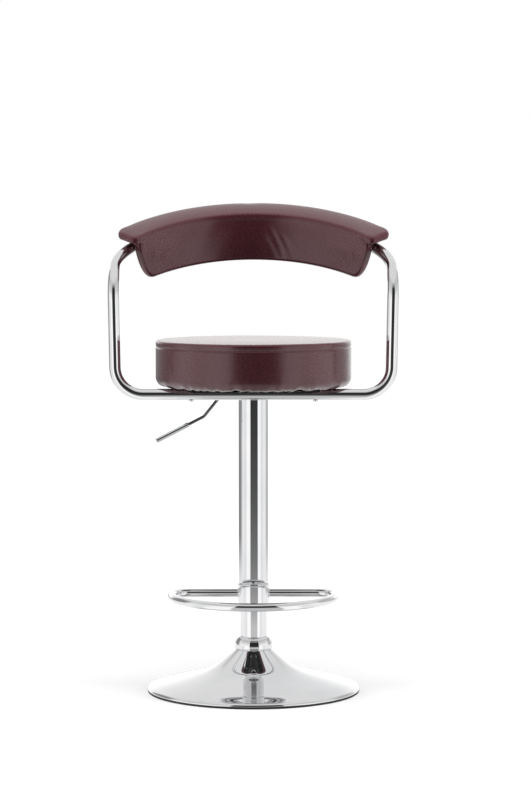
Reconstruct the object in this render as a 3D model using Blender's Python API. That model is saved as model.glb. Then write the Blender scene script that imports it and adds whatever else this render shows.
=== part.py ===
"""Gas-lift bar stool with a round padded seat, a tube arm frame and a padded band for the back.

Metres, +Z up. The origin is the point of the column's axis at floor level.
The front of the stool faces -Y and +X is its right-hand side in a front view.
"""
import math

import bpy
import bmesh
from mathutils import Matrix, Vector

# Clearances and shared stock sizes
gap = 0.0003                 # between neighbours that touch
overrun = 0.004              # how far a cutter reaches past what it cuts
weld_distance = 0.000001     # points closer than this are one point
tube_wall = 0.0015           # wall of every bent or straight steel tube

# Base on the floor
base_radius = 0.205
base_wall = 0.0016
edge_ring_width = 0.008
edge_ring_height = 0.0042
bottom_plate_thickness = 0.0015
weight_margin = 0.040         # from the weight's rim to the base's rim
weight_thickness = 0.005
neck_room = 0.0027           # between the hub and the inside of the base's neck
neck_height = 0.0822
neck_ring_overhang = 0.001
neck_ring_height = 0.024
neck_ring_shoulder = 0.009
hub_wall = 0.005
base_screw_radius = 0.0025
base_screw_head_radius = 0.0047
base_screw_head_height = 0.0026
base_screw_length = 0.006
base_screw_inset = 0.045     # from the weight's rim
base_screw_count = 4

# Column that stands in the base
column_radius = 0.0256
column_headroom = 0.028      # from the guide bush up to the seat's socket at the lowest setting
column_end_plate_height = 0.018
column_end_plate_thickness = 0.004
bush_length = 0.065
bush_flange = 0.002

# Foot ring
foot_collar_wall = 0.0041
foot_collar_height = 0.039
foot_ring_height = 0.190
foot_tube_radius = 0.008
foot_ring_half_width = 0.156
foot_ring_corner = 0.036
grub_screw_radius = 0.003

# Gas spring and its travel
lift_travel = 0.200          # the cylinder fills its guide bush over all of it
rod_radius = 0.005
rod_tail = 0.0037            # what stands out below the clip
rod_neck_radius = 0.0034
rod_shoulder_radius = 0.0085
rod_shoulder_height = 0.0025
rod_clip_radius = 0.008
rod_clip_thickness = 0.0012
thrust_bearing_height = 0.003
thrust_bearing_radius = 0.011
cylinder_radius = 0.014
cylinder_wall = 0.0018
cylinder_cap = 0.030
piston_length = 0.022
seal_length = 0.020
button_radius = 0.0035
button_buried = 0.010
button_rest = 0.001          # how much of the pressed button still stands proud

# Seat mechanism and lever
socket_wall = 0.005
socket_length = 0.040
socket_flange_thickness = 0.003
cover_wall = 0.0013
cover_insert_length = 0.018
cover_bush_length = 0.012
cover_bush_wall = 0.0011
housing_wall = 0.0022
housing_half_width = 0.0185
housing_front_reach = 0.030
housing_lever_reach = 0.045
plate_half_width = 0.070
plate_bar_gap = 0.006        # from the plate to the bar in front of it
plate_thickness = 0.002
plate_bolt_inset = 0.012
lever_rod_radius = 0.003
lever_arm = 0.030            # from the valve button to the lever's pivot
lever_inner_overhang = 0.004
lever_boss_radius = 0.0055
lever_pin_radius = 0.0025
lever_pin_head_radius = 0.0042
lever_pin_head_height = 0.0015
lever_drop_reach = 0.057     # where the rod turns down, from the axis
lever_knee_reach = 0.0955
lever_knee_drop = 0.0475
lever_tail = 0.0333          # bare rod from the knee to the grip
lever_tail_angle = math.radians(27.1)
lever_bend = 0.014
grip_radius = 0.005
grip_length = 0.070
lever_swing = math.radians(8)

# Seat
bar_height = 0.579           # centre of the straight bar under the seat
seat_radius = 0.188
seat_height = 0.0912
seat_crown = 0.002
seat_corner = 0.007
seat_roll = 0.019            # the softer edge round the underside
seam_depth = 0.0012
seam_drop = 0.012
seam_width = 0.004
board_margin = 0.026         # from the board's rim to the seat's rim
board_thickness = 0.014
bolt_radius = 0.003
bolt_head_radius = 0.0052
bolt_head_height = 0.0025
bolt_bite = 0.0115           # how far a bolt reaches into the board
tee_nut_barrel_wall = 0.0012
tee_nut_flange_radius = 0.009
tee_nut_flange_thickness = 0.0012

# Arm frame, one closed loop of tube
frame_tube_radius = 0.011
frame_front = -0.065         # Y of the bar and of both uprights
arm_half_width = 0.2655
upright_lean = 0.004         # how far the uprights come in on their way down
frame_bend = 0.053
arm_slope = 0.43             # rise per metre towards the back
arm_length = 0.0513          # from the uprights to where the sides start to bend, in plan
hoop_flare = 0.0525          # by how much the hoop's radius exceeds the arms' half width
hoop_side_bend = 0.142
frame_bolt_inset = 0.0304    # from the board's rim, along the bar

# Padded back
pad_tube_gap = 0.002         # from the panel's back to the tube
pad_overhang = 0.0165        # of the flange past the tube
pad_tip_angle = math.radians(7.6)      # from the hoop's end to the flange's end
pad_panel_angle = math.radians(3.0)    # from the hoop's end to the panel's end
pad_rise = 0.2645            # from the seat's top to the pad's upper edge at the back
pad_flange_depth = 0.021
pad_panel_depth = 0.0185
pad_panel_height = 0.0935
pad_panel_corner = 0.034
pad_tip_corner = 0.014
pad_edge = 0.007
pad_crown = 0.002            # swell of the panel's face
pad_lip = 0.009
core_flange_depth = 0.0095
core_panel_depth = 0.008
core_inset = 0.001           # how far the core lies below the pad's lips
core_end_margin = 0.004      # from the panel's rounded corner to the core's end
pad_screw_radius = 0.0022
pad_screw_head_radius = 0.0045
pad_screw_head_height = 0.0025

# Counts of flat sides
wide_sides = 48
tube_sides = 32
rod_sides = 16
bent_tube_sides = 12
bore_sides = 8
hidden_sides = 24
screw_sides = 10

# Heights and places that follow from the sizes above
weight_radius = base_radius - weight_margin
base_screw_circle = weight_radius - base_screw_inset
column_bore = column_radius - tube_wall
column_foot = bottom_plate_thickness + gap
weight_foot = bottom_plate_thickness + gap
weight_top = weight_foot + weight_thickness
hub_bore = column_radius + gap
hub_radius = hub_bore + hub_wall
neck_radius = hub_radius + neck_room + base_wall
neck_ring_radius = neck_radius + neck_ring_overhang
foot_collar_radius = column_radius + gap + foot_collar_wall
cover_bore = column_radius + gap + cover_bush_wall + gap
cover_radius = cover_bore + cover_wall
foot_collar_foot = foot_ring_height - foot_collar_height / 2
foot_collar_top = foot_ring_height + foot_collar_height / 2
frame_top = bar_height + frame_tube_radius
seat_underside = frame_top + gap
plate_top = seat_underside - gap
plate_foot = plate_top - plate_thickness
housing_top = plate_foot - gap
lever_height = housing_top - housing_wall - gap - lever_boss_radius - gap
button_top = lever_height - lever_rod_radius - gap
button_stroke = (lever_arm + button_radius) * lever_swing
cylinder_top = button_top - button_stroke - button_rest
column_height = cylinder_top - socket_length - column_headroom - bush_flange - gap
bush_foot = column_height - bush_length
cylinder_foot = bush_foot - lift_travel
socket_top = cylinder_top
socket_bore = cylinder_radius + gap
socket_radius = socket_bore + socket_wall
cover_top = socket_top - socket_flange_thickness - gap
cover_foot = foot_collar_top + gap
board_underside = seat_underside
board_top = board_underside + board_thickness
recess_top = board_top + gap + tee_nut_flange_thickness + gap
seat_top = seat_underside + seat_height
board_radius = seat_radius - board_margin
frame_bolt_half_spacing = math.sqrt(board_radius ** 2 - frame_front ** 2) - frame_bolt_inset
plate_half_depth = -frame_front - frame_tube_radius - plate_bar_gap
frame_foot_half_width = arm_half_width - upright_lean
hoop_radius = arm_half_width + hoop_flare
hoop_half_angle = math.asin((arm_half_width - hoop_side_bend) / (hoop_radius - hoop_side_bend))
hoop_side_centre = frame_front + arm_length
hoop_centre = hoop_side_centre - (hoop_radius - hoop_side_bend) * math.cos(hoop_half_angle)
hoop_back = hoop_centre + hoop_radius
tilt_stretch = math.hypot(1, arm_slope)
hoop_tube_drop = (frame_tube_radius + gap) * tilt_stretch
pad_inner_radius = hoop_radius - frame_tube_radius - pad_tube_gap - pad_panel_depth
pad_outer_radius = hoop_radius + frame_tube_radius + pad_overhang
pad_half_angle = hoop_half_angle + pad_tip_angle
pad_panel_half_angle = hoop_half_angle + pad_panel_angle
pad_top_back = seat_top + pad_rise
pad_plane_height = pad_top_back - arm_slope * (hoop_centre + pad_outer_radius)
tube_plane_height = pad_plane_height - pad_flange_depth - hoop_tube_drop
plane_normal = Vector((0, -arm_slope, 1)).normalized()
panel_setback = (pad_half_angle - pad_panel_half_angle) * pad_inner_radius
core_setback = panel_setback + pad_panel_corner + core_end_margin
core_half_angle = pad_half_angle - (core_setback + 2 * gap) / pad_inner_radius

chrome = ("chrome", (0.80, 0.80, 0.81), 0.05, 1.0)
bare_steel = ("bare_steel", (0.50, 0.50, 0.51), 0.32, 1.0)
zinc_steel = ("zinc_steel", (0.62, 0.62, 0.60), 0.28, 1.0)
black_paint = ("black_paint", (0.02, 0.02, 0.02), 0.45, 0.0)
black_rubber = ("black_rubber", (0.015, 0.015, 0.015), 0.75, 0.0)
white_nylon = ("white_nylon", (0.75, 0.74, 0.70), 0.50, 0.0)
plywood = ("plywood", (0.46, 0.33, 0.20), 0.65, 0.0)
maroon_leather = ("maroon_leather", (0.095, 0.018, 0.026), 0.38, 0.0)


def clear_scene():
    for item in list(bpy.data.objects):
        bpy.data.objects.remove(item, do_unlink=True)


def material(finish):
    name, colour, roughness, metallic = finish
    found = bpy.data.materials.get(name)
    if found:
        return found
    made = bpy.data.materials.new(name)
    made.use_nodes = True
    shader = made.node_tree.nodes["Principled BSDF"]
    shader.inputs["Base Color"].default_value = (*colour, 1)
    shader.inputs["Roughness"].default_value = roughness
    shader.inputs["Metallic"].default_value = metallic
    return made


def empty(name, place, parent=None):
    made = bpy.data.objects.new(name, None)
    bpy.context.collection.objects.link(made)
    return placed(made, place, parent)


def placed(item, place, parent):
    """Puts an object at a world place, under an empty that is not turned."""
    item.location = Vector(place)
    if parent:
        item.parent = parent
        item.location -= world_place(parent)
    return item


def world_place(item):
    place = Vector(item.location)
    while item.parent:
        item = item.parent
        place += item.location
    return place


def node(name, bm, finish, parent, origin=(0, 0, 0)):
    """Makes one named object from a mesh drawn in world coordinates."""
    bmesh.ops.translate(bm, verts=bm.verts, vec=-Vector(origin))
    mesh = bpy.data.meshes.new(name)
    bm.to_mesh(mesh)
    bm.free()
    mesh.materials.append(material(finish))
    mesh.shade_smooth()
    mesh.set_sharp_from_angle(angle=math.radians(35))
    made = bpy.data.objects.new(name, mesh)
    bpy.context.collection.objects.link(made)
    return placed(made, origin, parent)


def turned(outline, sides, bm=None, matrix=None):
    """Spins a closed outline of (radius, height) points once round the Z axis."""
    bm = bm or bmesh.new()
    verts = [bm.verts.new((radius, 0, height)) for radius, height in outline]
    pairs = zip(verts, verts[1:] + verts[:1])
    edges = [bm.edges.new(pair) for pair in pairs if pair[0].co.x > 0 or pair[1].co.x > 0]
    before = set(bm.verts) - set(verts)
    bmesh.ops.spin(bm, geom=verts + edges, cent=(0, 0, 0), axis=(0, 0, 1),
                   angle=2 * math.pi, steps=sides, use_merge=True)
    made = [vert for vert in bm.verts if vert not in before]
    bmesh.ops.remove_doubles(bm, verts=made, dist=weld_distance)
    made = [vert for vert in bm.verts if vert not in before]
    faces = {face for vert in made for face in vert.link_faces}
    bmesh.ops.recalc_face_normals(bm, faces=list(faces))
    if matrix:
        bmesh.ops.transform(bm, matrix=matrix, verts=made)
    return bm


def ring(inner, outer, foot, top):
    return [(inner, foot), (outer, foot), (outer, top), (inner, top)]


def rod(radius, foot, top):
    return [(0, foot), (radius, foot), (radius, top), (0, top)]


def block(low, high, bm=None):
    """A box between two opposite corners."""
    bm = bm or bmesh.new()
    low, high = Vector(low), Vector(high)
    size = Matrix.Diagonal((*(high - low), 1))
    bmesh.ops.create_cube(bm, size=1, matrix=Matrix.Translation((low + high) / 2) @ size)
    return bm


def arc(centre, across, up, radius, start, end, steps):
    """Points of an arc in the plane of two unit vectors, both ends included."""
    points = []
    for step in range(steps + 1):
        turn = start + (end - start) * step / steps
        points.append(centre + radius * (math.cos(turn) * across + math.sin(turn) * up))
    return points


def rounded_corner(before, corner, after, radius, steps):
    """The arc that rounds one corner of a path, from leg to leg."""
    back = (before - corner).normalized()
    ahead = (after - corner).normalized()
    half = back.angle(ahead) / 2
    centre = corner + (back + ahead).normalized() * radius / math.sin(half)
    first = corner + back * radius / math.tan(half)
    last = corner + ahead * radius / math.tan(half)
    across = (first - centre).normalized()
    up = (last - centre) - (last - centre).dot(across) * across
    return arc(centre, across, up.normalized(), radius, 0, math.pi - 2 * half, steps)


def tube_mesh(points, radius, sides, closed=False):
    """A round bar swept along a path, as a mesh."""
    curve = bpy.data.curves.new("path", "CURVE")
    curve.dimensions = "3D"
    curve.bevel_depth = radius
    curve.bevel_resolution = sides // 2 - 2
    curve.use_fill_caps = not closed
    spline = curve.splines.new("POLY")
    spline.points.add(len(points) - 1)
    for target, point in zip(spline.points, points):
        target.co = (*point, 1)
    spline.use_cyclic_u = closed
    holder = bpy.data.objects.new("path", curve)
    bpy.context.collection.objects.link(holder)
    bpy.context.view_layer.update()
    swept = holder.evaluated_get(bpy.context.evaluated_depsgraph_get())
    mesh = bpy.data.meshes.new_from_object(swept)
    bm = bmesh.new()
    bm.from_mesh(mesh)
    bmesh.ops.remove_doubles(bm, verts=bm.verts, dist=weld_distance)
    bpy.data.objects.remove(holder, do_unlink=True)
    bpy.data.curves.remove(curve)
    bpy.data.meshes.remove(mesh)
    return bm


def join_into(bm, other, inside_out=False):
    """Adds a second mesh, turned inside out where it is the wall of a bore."""
    if inside_out:
        bmesh.ops.reverse_faces(other, faces=other.faces)
    mesh = bpy.data.meshes.new("joined")
    other.to_mesh(mesh)
    other.free()
    bm.from_mesh(mesh)
    bpy.data.meshes.remove(mesh)
    return bm


def boolean(target, bm, name, operation="DIFFERENCE"):
    """Cuts or joins a hidden guide shape, drawn in world coordinates."""
    mesh = bpy.data.meshes.new(name)
    bm.to_mesh(mesh)
    bm.free()
    guide = bpy.data.objects.new(name, mesh)
    bpy.context.collection.objects.link(guide)
    guide.hide_render = True
    guide.display_type = "WIRE"
    modifier = target.modifiers.new(name, "BOOLEAN")
    modifier.operation = operation
    modifier.object = guide
    return target


def drills(outline, matrices):
    """Several turned cutters in one mesh."""
    bm = bmesh.new()
    for matrix in matrices:
        turned(outline, screw_sides, bm, matrix)
    return bm


def fasteners(name, outline, matrices, finish, parent):
    """Identical turned fasteners that share one mesh, each an object of its own."""
    mesh = None
    for index, matrix in enumerate(matrices, 1):
        if mesh is None:
            made = node(f"{name}_{index}", turned(outline, screw_sides), finish, None)
            mesh = made.data
        else:
            made = bpy.data.objects.new(f"{name}_{index}", mesh)
            bpy.context.collection.objects.link(made)
        made.rotation_euler = matrix.to_euler()
        placed(made, matrix.translation, parent)


def circle_places(radius, count, height=0.0):
    turns = [2 * math.pi * (index + 0.5) / count for index in range(count)]
    return [Vector((radius * math.cos(turn), radius * math.sin(turn), height)) for turn in turns]


def moved_to(places):
    return [Matrix.Translation(place) for place in places]


def offset_outline(points, distance):
    """Moves an open outline sideways, to the left of its own direction."""
    moved = []
    for index, point in enumerate(points):
        before = points[max(index - 1, 0)]
        after = points[min(index + 1, len(points) - 1)]
        along = Vector((after[0] - before[0], after[1] - before[1])).normalized()
        moved.append((point[0] - along.y * distance, point[1] + along.x * distance))
    return moved


# Base

def trumpet_outline():
    """Outer side of the spun base cover, from the neck down to the rim."""
    reach_shares = (0, 0.05, 0.11, 0.18, 0.27, 0.38, 0.50, 0.62, 0.74, 0.84, 0.92, 0.97, 1)
    rise_shares = (1, 0.877, 0.774, 0.680, 0.583, 0.486, 0.397, 0.325, 0.258, 0.197, 0.129, 0.064, 0)
    rim_height = edge_ring_height + gap
    reach = base_radius - neck_radius
    rise = neck_height - rim_height
    return [(neck_radius + reach * across, rim_height + rise * up)
            for across, up in zip(reach_shares, rise_shares)]


def base_cover(parent):
    outer = trumpet_outline()
    inner = offset_outline(outer, -base_wall)[::2]
    inner[0] = (outer[0][0] - base_wall, outer[0][1])
    inner[-1] = (outer[-1][0] - base_wall, outer[-1][1])
    node("base_cover", turned(outer + inner[::-1], wide_sides), chrome, parent)


def base_floor_parts(parent):
    ring_bore = base_radius - edge_ring_width
    node("base_edge_ring", turned(ring(ring_bore, base_radius, 0, edge_ring_height), wide_sides),
         black_rubber, parent)
    plate = node("base_bottom_plate", turned(rod(ring_bore - gap, 0, bottom_plate_thickness), wide_sides),
                 black_paint, parent)
    weight = node("base_weight",
                  turned(ring(hub_bore, weight_radius, weight_foot, weight_top), tube_sides),
                  bare_steel, parent)
    places = moved_to(circle_places(base_screw_circle, base_screw_count))
    head_foot = gap
    shank_foot = head_foot + base_screw_head_height
    tip = head_foot + base_screw_length
    screw = [(0, head_foot), (base_screw_head_radius, head_foot), (base_screw_radius, shank_foot),
             (base_screw_radius, tip), (0, tip)]
    wide, slim = base_screw_head_radius + gap, base_screw_radius + gap
    hole = [(0, -overrun), (wide, -overrun), (wide, head_foot), (slim, shank_foot),
            (slim, weight_top + overrun), (0, weight_top + overrun)]
    boolean(plate, drills(hole, places), "bottom_plate_holes")
    boolean(weight, drills(hole, places), "weight_holes")
    fasteners("base_screw", screw, places, zinc_steel, parent)


def base_hub(parent):
    top = neck_height - gap
    node("base_hub", turned(ring(hub_bore, hub_radius, weight_top + gap, top), tube_sides),
         bare_steel, parent)


def neck_ring(parent):
    foot = neck_height + gap
    top = foot + neck_ring_height
    inner = column_radius + gap
    shoulder = top - neck_ring_shoulder
    reach = neck_ring_radius - inner - base_wall
    outline = [(inner, foot), (neck_ring_radius, foot), (neck_ring_radius, shoulder)]
    for turn in (math.radians(30), math.radians(60), math.radians(90)):
        outline.append((neck_ring_radius - reach * (1 - math.cos(turn)),
                        shoulder + neck_ring_shoulder * math.sin(turn)))
    outline.append((inner, top))
    node("neck_ring", turned(outline, tube_sides), chrome, parent)


# Column and foot ring

def column(parent):
    node("column_tube", turned(ring(column_bore, column_radius, column_foot, column_height), tube_sides),
         chrome, parent)
    plate_foot_height = column_end_plate_height
    plate_top_height = plate_foot_height + column_end_plate_thickness
    node("column_end_plate",
         turned(ring(rod_radius + gap, column_bore - gap, plate_foot_height, plate_top_height), rod_sides),
         bare_steel, parent)
    node("thrust_bearing",
         turned(ring(rod_radius + gap, thrust_bearing_radius, plate_top_height + gap,
                     plate_top_height + gap + thrust_bearing_height), rod_sides), bare_steel, parent)
    bush_top = column_height + gap + bush_flange
    bush = [(socket_bore, bush_foot), (column_bore - gap, bush_foot), (column_bore - gap, column_height + gap),
            (column_radius, column_height + gap), (column_radius, bush_top), (socket_bore, bush_top)]
    node("guide_bush", turned(bush, hidden_sides), white_nylon, parent)


def foot_collar(parent):
    chamfer = tube_wall / 2
    inner, outer = column_radius + gap, foot_collar_radius
    outline = [(inner, foot_collar_foot), (outer - chamfer, foot_collar_foot),
               (outer, foot_collar_foot + chamfer), (outer, foot_collar_top - chamfer),
               (outer - chamfer, foot_collar_top), (inner, foot_collar_top)]
    collar = node("foot_ring_collar", turned(outline, tube_sides), chrome, parent)
    turns = (math.radians(60), math.radians(120))
    matrices = [Matrix.Translation((0, 0, foot_ring_height)) @ Matrix.Rotation(turn, 4, "Z")
                @ Matrix.Rotation(math.pi / 2, 4, "Y") for turn in turns]
    hole = rod(grub_screw_radius + gap, column_radius / 2, foot_collar_radius + overrun)
    boolean(collar, drills(hole, matrices), "collar_holes")
    screw = rod(grub_screw_radius, column_radius + gap, foot_collar_radius - gap)
    fasteners("collar_grub_screw", screw, matrices, bare_steel, parent)


def foot_ring_path(inner_end):
    """Half of the foot ring, from the collar round the right corner to the front."""
    across, front = Vector((1, 0, 0)), Vector((0, -1, 0))
    level = Vector((0, 0, foot_ring_height))
    corner = level + across * (foot_ring_half_width - foot_ring_corner) + front * foot_ring_corner
    middle = level + front * foot_ring_corner
    points = [level + across * inner_end]
    points += arc(corner, -front, across, foot_ring_corner, 0, math.pi / 2, 5)
    points += arc(middle, across, front, foot_ring_half_width, 0, math.pi / 2, 11)[1:]
    return points


def mirrored(points):
    return [Vector((-point.x, point.y, point.z)) for point in points]


def foot_ring(parent):
    half = foot_ring_path(column_radius)
    path = half + mirrored(half)[-2::-1]
    made = node("foot_ring", tube_mesh(path, foot_tube_radius, bent_tube_sides), chrome, parent,
                (0, 0, foot_ring_height))
    inner = foot_ring_path(column_radius - overrun)
    bore = tube_mesh(inner + mirrored(inner)[-2::-1], foot_tube_radius - tube_wall, bore_sides)
    boolean(made, bore, "foot_ring_bore")
    coping = rod(foot_collar_radius + gap, foot_collar_foot, foot_collar_top)
    boolean(made, turned(coping, tube_sides), "foot_ring_coping")


# Gas spring

def piston_rod(parent):
    bearing_top = column_end_plate_height + column_end_plate_thickness + 2 * gap + thrust_bearing_height
    shoulder_top = bearing_top + rod_shoulder_height
    piston_top = cylinder_top - cylinder_cap - 2 * gap
    clip_top = column_end_plate_height - gap
    clip_foot = clip_top - rod_clip_thickness
    rod_foot = clip_foot - gap - rod_tail
    outline = [(0, rod_foot), (rod_radius, rod_foot), (rod_radius, clip_foot - gap),
               (rod_neck_radius, clip_foot - gap), (rod_neck_radius, clip_top + gap / 2),
               (rod_radius, clip_top + gap / 2), (rod_radius, bearing_top),
               (rod_shoulder_radius, bearing_top), (rod_shoulder_radius, shoulder_top),
               (rod_radius, shoulder_top), (rod_radius, piston_top), (0, piston_top)]
    node("piston_rod", turned(outline, rod_sides), chrome, parent)
    piston = ring(rod_radius + gap, cylinder_radius - cylinder_wall - gap,
                  piston_top - piston_length, piston_top)
    node("piston", turned(piston, rod_sides), white_nylon, parent)
    node("rod_clip", open_ring(rod_neck_radius + gap, rod_clip_radius, clip_foot, clip_top),
         bare_steel, parent)


def open_ring(inner, outer, foot, top):
    """A flat spring clip with a mouth a quarter turn wide."""
    bm = bmesh.new()
    verts = [bm.verts.new((radius, 0, height)) for radius, height in ring(inner, outer, foot, top)]
    face = bm.faces.new(verts)
    bmesh.ops.spin(bm, geom=[face] + face.edges[:] + verts, cent=(0, 0, 0), axis=(0, 0, 1),
                   angle=math.radians(270), steps=rod_sides - 4)
    bmesh.ops.holes_fill(bm, edges=[edge for edge in bm.edges if edge.is_boundary], sides=4)
    bmesh.ops.recalc_face_normals(bm, faces=bm.faces)
    return bm


def gas_cylinder(parent):
    bore = cylinder_radius - cylinder_wall
    well = button_buried + button_stroke + 2 * gap
    outline = [(bore, cylinder_foot), (cylinder_radius, cylinder_foot), (cylinder_radius, cylinder_top),
               (button_radius + gap, cylinder_top), (button_radius + gap, cylinder_top - well),
               (0, cylinder_top - well), (0, cylinder_top - cylinder_cap),
               (bore, cylinder_top - cylinder_cap)]
    node("gas_cylinder", turned(outline, hidden_sides), black_paint, parent)
    seal = ring(rod_radius + gap, bore - gap, cylinder_foot + gap, cylinder_foot + gap + seal_length)
    node("cylinder_seal", turned(seal, rod_sides), black_rubber, parent)


def valve_button(parent):
    foot = cylinder_top - button_buried
    node("valve_button", turned(rod(button_radius, foot, button_top), rod_sides), zinc_steel, parent,
         (0, 0, button_top))


# Seat mechanism

def cylinder_socket(parent):
    flange_foot = socket_top - socket_flange_thickness
    outline = [(socket_bore, socket_top - socket_length), (socket_radius, socket_top - socket_length),
               (socket_radius, flange_foot), (cover_radius, flange_foot), (cover_radius, socket_top),
               (socket_bore, socket_top)]
    node("cylinder_socket", turned(outline, hidden_sides), bare_steel, parent)


def cover_tube(parent):
    node("cover_tube", turned(ring(cover_bore, cover_radius, cover_foot, cover_top), tube_sides),
         chrome, parent)
    insert_top = cover_top
    insert = ring(socket_radius + gap, cover_bore - gap, insert_top - cover_insert_length, insert_top)
    node("cover_insert", turned(insert, hidden_sides), white_nylon, parent)
    sleeve = ring(column_radius + gap, cover_bore - gap, cover_foot, cover_foot + cover_bush_length)
    node("cover_lower_bush", turned(sleeve, tube_sides), white_nylon, parent)


def lever_housing(parent):
    """An inverted channel over the valve, with a pin hole through both cheeks."""
    web_foot = housing_top - housing_wall
    low = (-housing_lever_reach, -housing_half_width, socket_top + gap)
    high = (housing_front_reach, housing_half_width, housing_top)
    made = node("lever_housing", block(low, high), black_paint, parent, (0, 0, housing_top))
    inside = housing_half_width - housing_wall
    channel = block((-housing_lever_reach - overrun, -inside, socket_top - overrun),
                    (housing_front_reach + overrun, inside, web_foot))
    boolean(made, channel, "housing_channel")
    hole = rod(lever_pin_radius + gap, -housing_half_width - overrun, housing_half_width + overrun)
    boolean(made, turned(hole, screw_sides, matrix=lever_axis_matrix()), "housing_pin_holes")


def lever_axis_matrix():
    return Matrix.Translation((-lever_arm, 0, lever_height)) @ Matrix.Rotation(math.pi / 2, 4, "X")


def lever_pin(parent):
    reach = housing_half_width + gap
    head = reach + lever_pin_head_height
    outline = [(0, -head), (lever_pin_head_radius, -head), (lever_pin_head_radius, -reach),
               (lever_pin_radius, -reach), (lever_pin_radius, reach), (lever_pin_head_radius, reach),
               (lever_pin_head_radius, head), (0, head)]
    node("lever_pin", turned(outline, screw_sides, matrix=lever_axis_matrix()), zinc_steel, parent,
         (-lever_arm, 0, lever_height))


def lever_corners():
    level = Vector((0, 0, lever_height))
    knee = level + Vector((-lever_knee_reach, 0, -lever_knee_drop))
    along = Vector((-math.cos(lever_tail_angle), 0, -math.sin(lever_tail_angle)))
    return [level + Vector((lever_inner_overhang, 0, 0)), level + Vector((-lever_drop_reach, 0, 0)),
            knee, knee + along * (lever_tail + grip_length)]


def lever(parent):
    pivot = (-lever_arm, 0, lever_height)
    first, drop, knee, last = lever_corners()
    along = (last - knee).normalized()
    path = [first] + rounded_corner(first, drop, knee, lever_bend, 5)
    path += rounded_corner(drop, knee, last, lever_bend, 4)
    path.append(last - along * 2 * tube_wall)
    made = node("lever_rod", tube_mesh(path, lever_rod_radius, screw_sides), chrome, parent, pivot)
    half = housing_half_width - housing_wall - gap
    boss = turned(rod(lever_boss_radius, -half, half), rod_sides, matrix=lever_axis_matrix())
    boolean(made, boss, "lever_boss", "UNION")
    reach = housing_half_width + overrun
    bore = turned(rod(lever_pin_radius + gap, -reach, reach), screw_sides, matrix=lever_axis_matrix())
    boolean(made, bore, "lever_bore")
    turn = Vector((0, 0, 1)).rotation_difference(along).to_matrix().to_4x4()
    blind_end = grip_length - 2 * tube_wall + gap
    sleeve = [(lever_rod_radius + gap, 0), (grip_radius, 0), (grip_radius, grip_length),
              (0, grip_length), (0, blind_end), (lever_rod_radius + gap, blind_end)]
    grip_start = last - along * grip_length
    node("lever_grip", turned(sleeve, rod_sides, matrix=Matrix.Translation(grip_start) @ turn),
         chrome, parent, grip_start)


def plate_bolt_places():
    across = plate_half_width - plate_bolt_inset
    along = plate_half_depth - plate_bolt_inset
    return [Vector((x, y, 0)) for x in (-across, across) for y in (-along, along)]


def frame_bolt_places():
    return [Vector((x, frame_front, 0)) for x in (-frame_bolt_half_spacing, frame_bolt_half_spacing)]


def bolt_outline(seat):
    """A pan-head bolt whose head bears upwards at the given height."""
    foot = seat - bolt_head_height
    tip = board_underside + bolt_bite
    edge = bolt_head_height / 3
    return [(0, foot), (bolt_head_radius - edge, foot), (bolt_head_radius, foot + edge),
            (bolt_head_radius, seat), (bolt_radius, seat), (bolt_radius, tip), (0, tip)]


def mechanism_plate(parent):
    low = (-plate_half_width, -plate_half_depth, plate_foot)
    high = (plate_half_width, plate_half_depth, plate_top)
    made = node("mechanism_plate", block(low, high), black_paint, parent, (0, 0, plate_foot))
    hole = rod(bolt_radius + gap, plate_foot - overrun, plate_top + overrun)
    places = moved_to(plate_bolt_places())
    boolean(made, drills(hole, places), "plate_holes")
    fasteners("mechanism_bolt", bolt_outline(plate_foot - gap), places, zinc_steel, parent)


# Seat

def seat_board(parent):
    places = moved_to(plate_bolt_places() + frame_bolt_places())
    made = node("seat_board", turned(rod(board_radius, board_underside, board_top), wide_sides),
                plywood, parent, (0, 0, board_underside))
    thread = bolt_radius + gap
    barrel = thread + tee_nut_barrel_wall
    hole = rod(barrel + gap, board_underside - overrun, board_top + overrun)
    boolean(made, drills(hole, places), "board_holes")
    flange_foot = board_top + gap
    flange_top = flange_foot + tee_nut_flange_thickness
    nut = [(thread, board_underside + tee_nut_flange_thickness),
           (barrel, board_underside + tee_nut_flange_thickness), (barrel, flange_foot),
           (tee_nut_flange_radius, flange_foot), (tee_nut_flange_radius, flange_top),
           (thread, flange_top)]
    fasteners("seat_tee_nut", nut, places, zinc_steel, parent)


def seat_cushion(parent):
    """Crowned round cushion with drawn-in foot, a seam under its top edge and a well for the board."""
    well = board_radius + gap
    rim = seat_radius - seat_corner
    seam = seat_top - seat_crown - seam_drop
    foot_rim = seat_radius - seat_roll
    body_shares = ((0.998, 0.40), (1, 0.55), (0.998, 0.72))
    outline = [(0, recess_top), (well, recess_top), (well, seat_underside)]
    for turn in (math.radians(90), math.radians(60), math.radians(35), math.radians(12)):
        outline.append((foot_rim + seat_roll * math.cos(turn),
                        seat_underside + seat_roll * (1 - math.sin(turn))))
    outline += [(seat_radius * across, seat_underside + seat_height * up) for across, up in body_shares]
    outline += [(seat_radius, seam - seam_width / 2), (seat_radius - seam_depth, seam),
                (seat_radius, seam + seam_width / 2)]
    edge_height = seat_top - seat_crown
    for turn in (math.radians(20), math.radians(50), math.radians(80)):
        outline.append((rim + seat_corner * math.cos(turn),
                        edge_height - seat_corner + seat_corner * math.sin(turn)))
    crown_shares = (0.86, 0.60, 0.30, 0)
    outline += [(rim * share, seat_top - seat_crown * share ** 4) for share in crown_shares]
    node("seat_cushion", turned(outline, wide_sides), maroon_leather, parent, (0, 0, seat_underside))


# Arm frame

def plane_point(x, y):
    """A point of the sloping plane that the hoop's centre line lies in."""
    return Vector((x, y, tube_plane_height + arm_slope * y))


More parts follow.
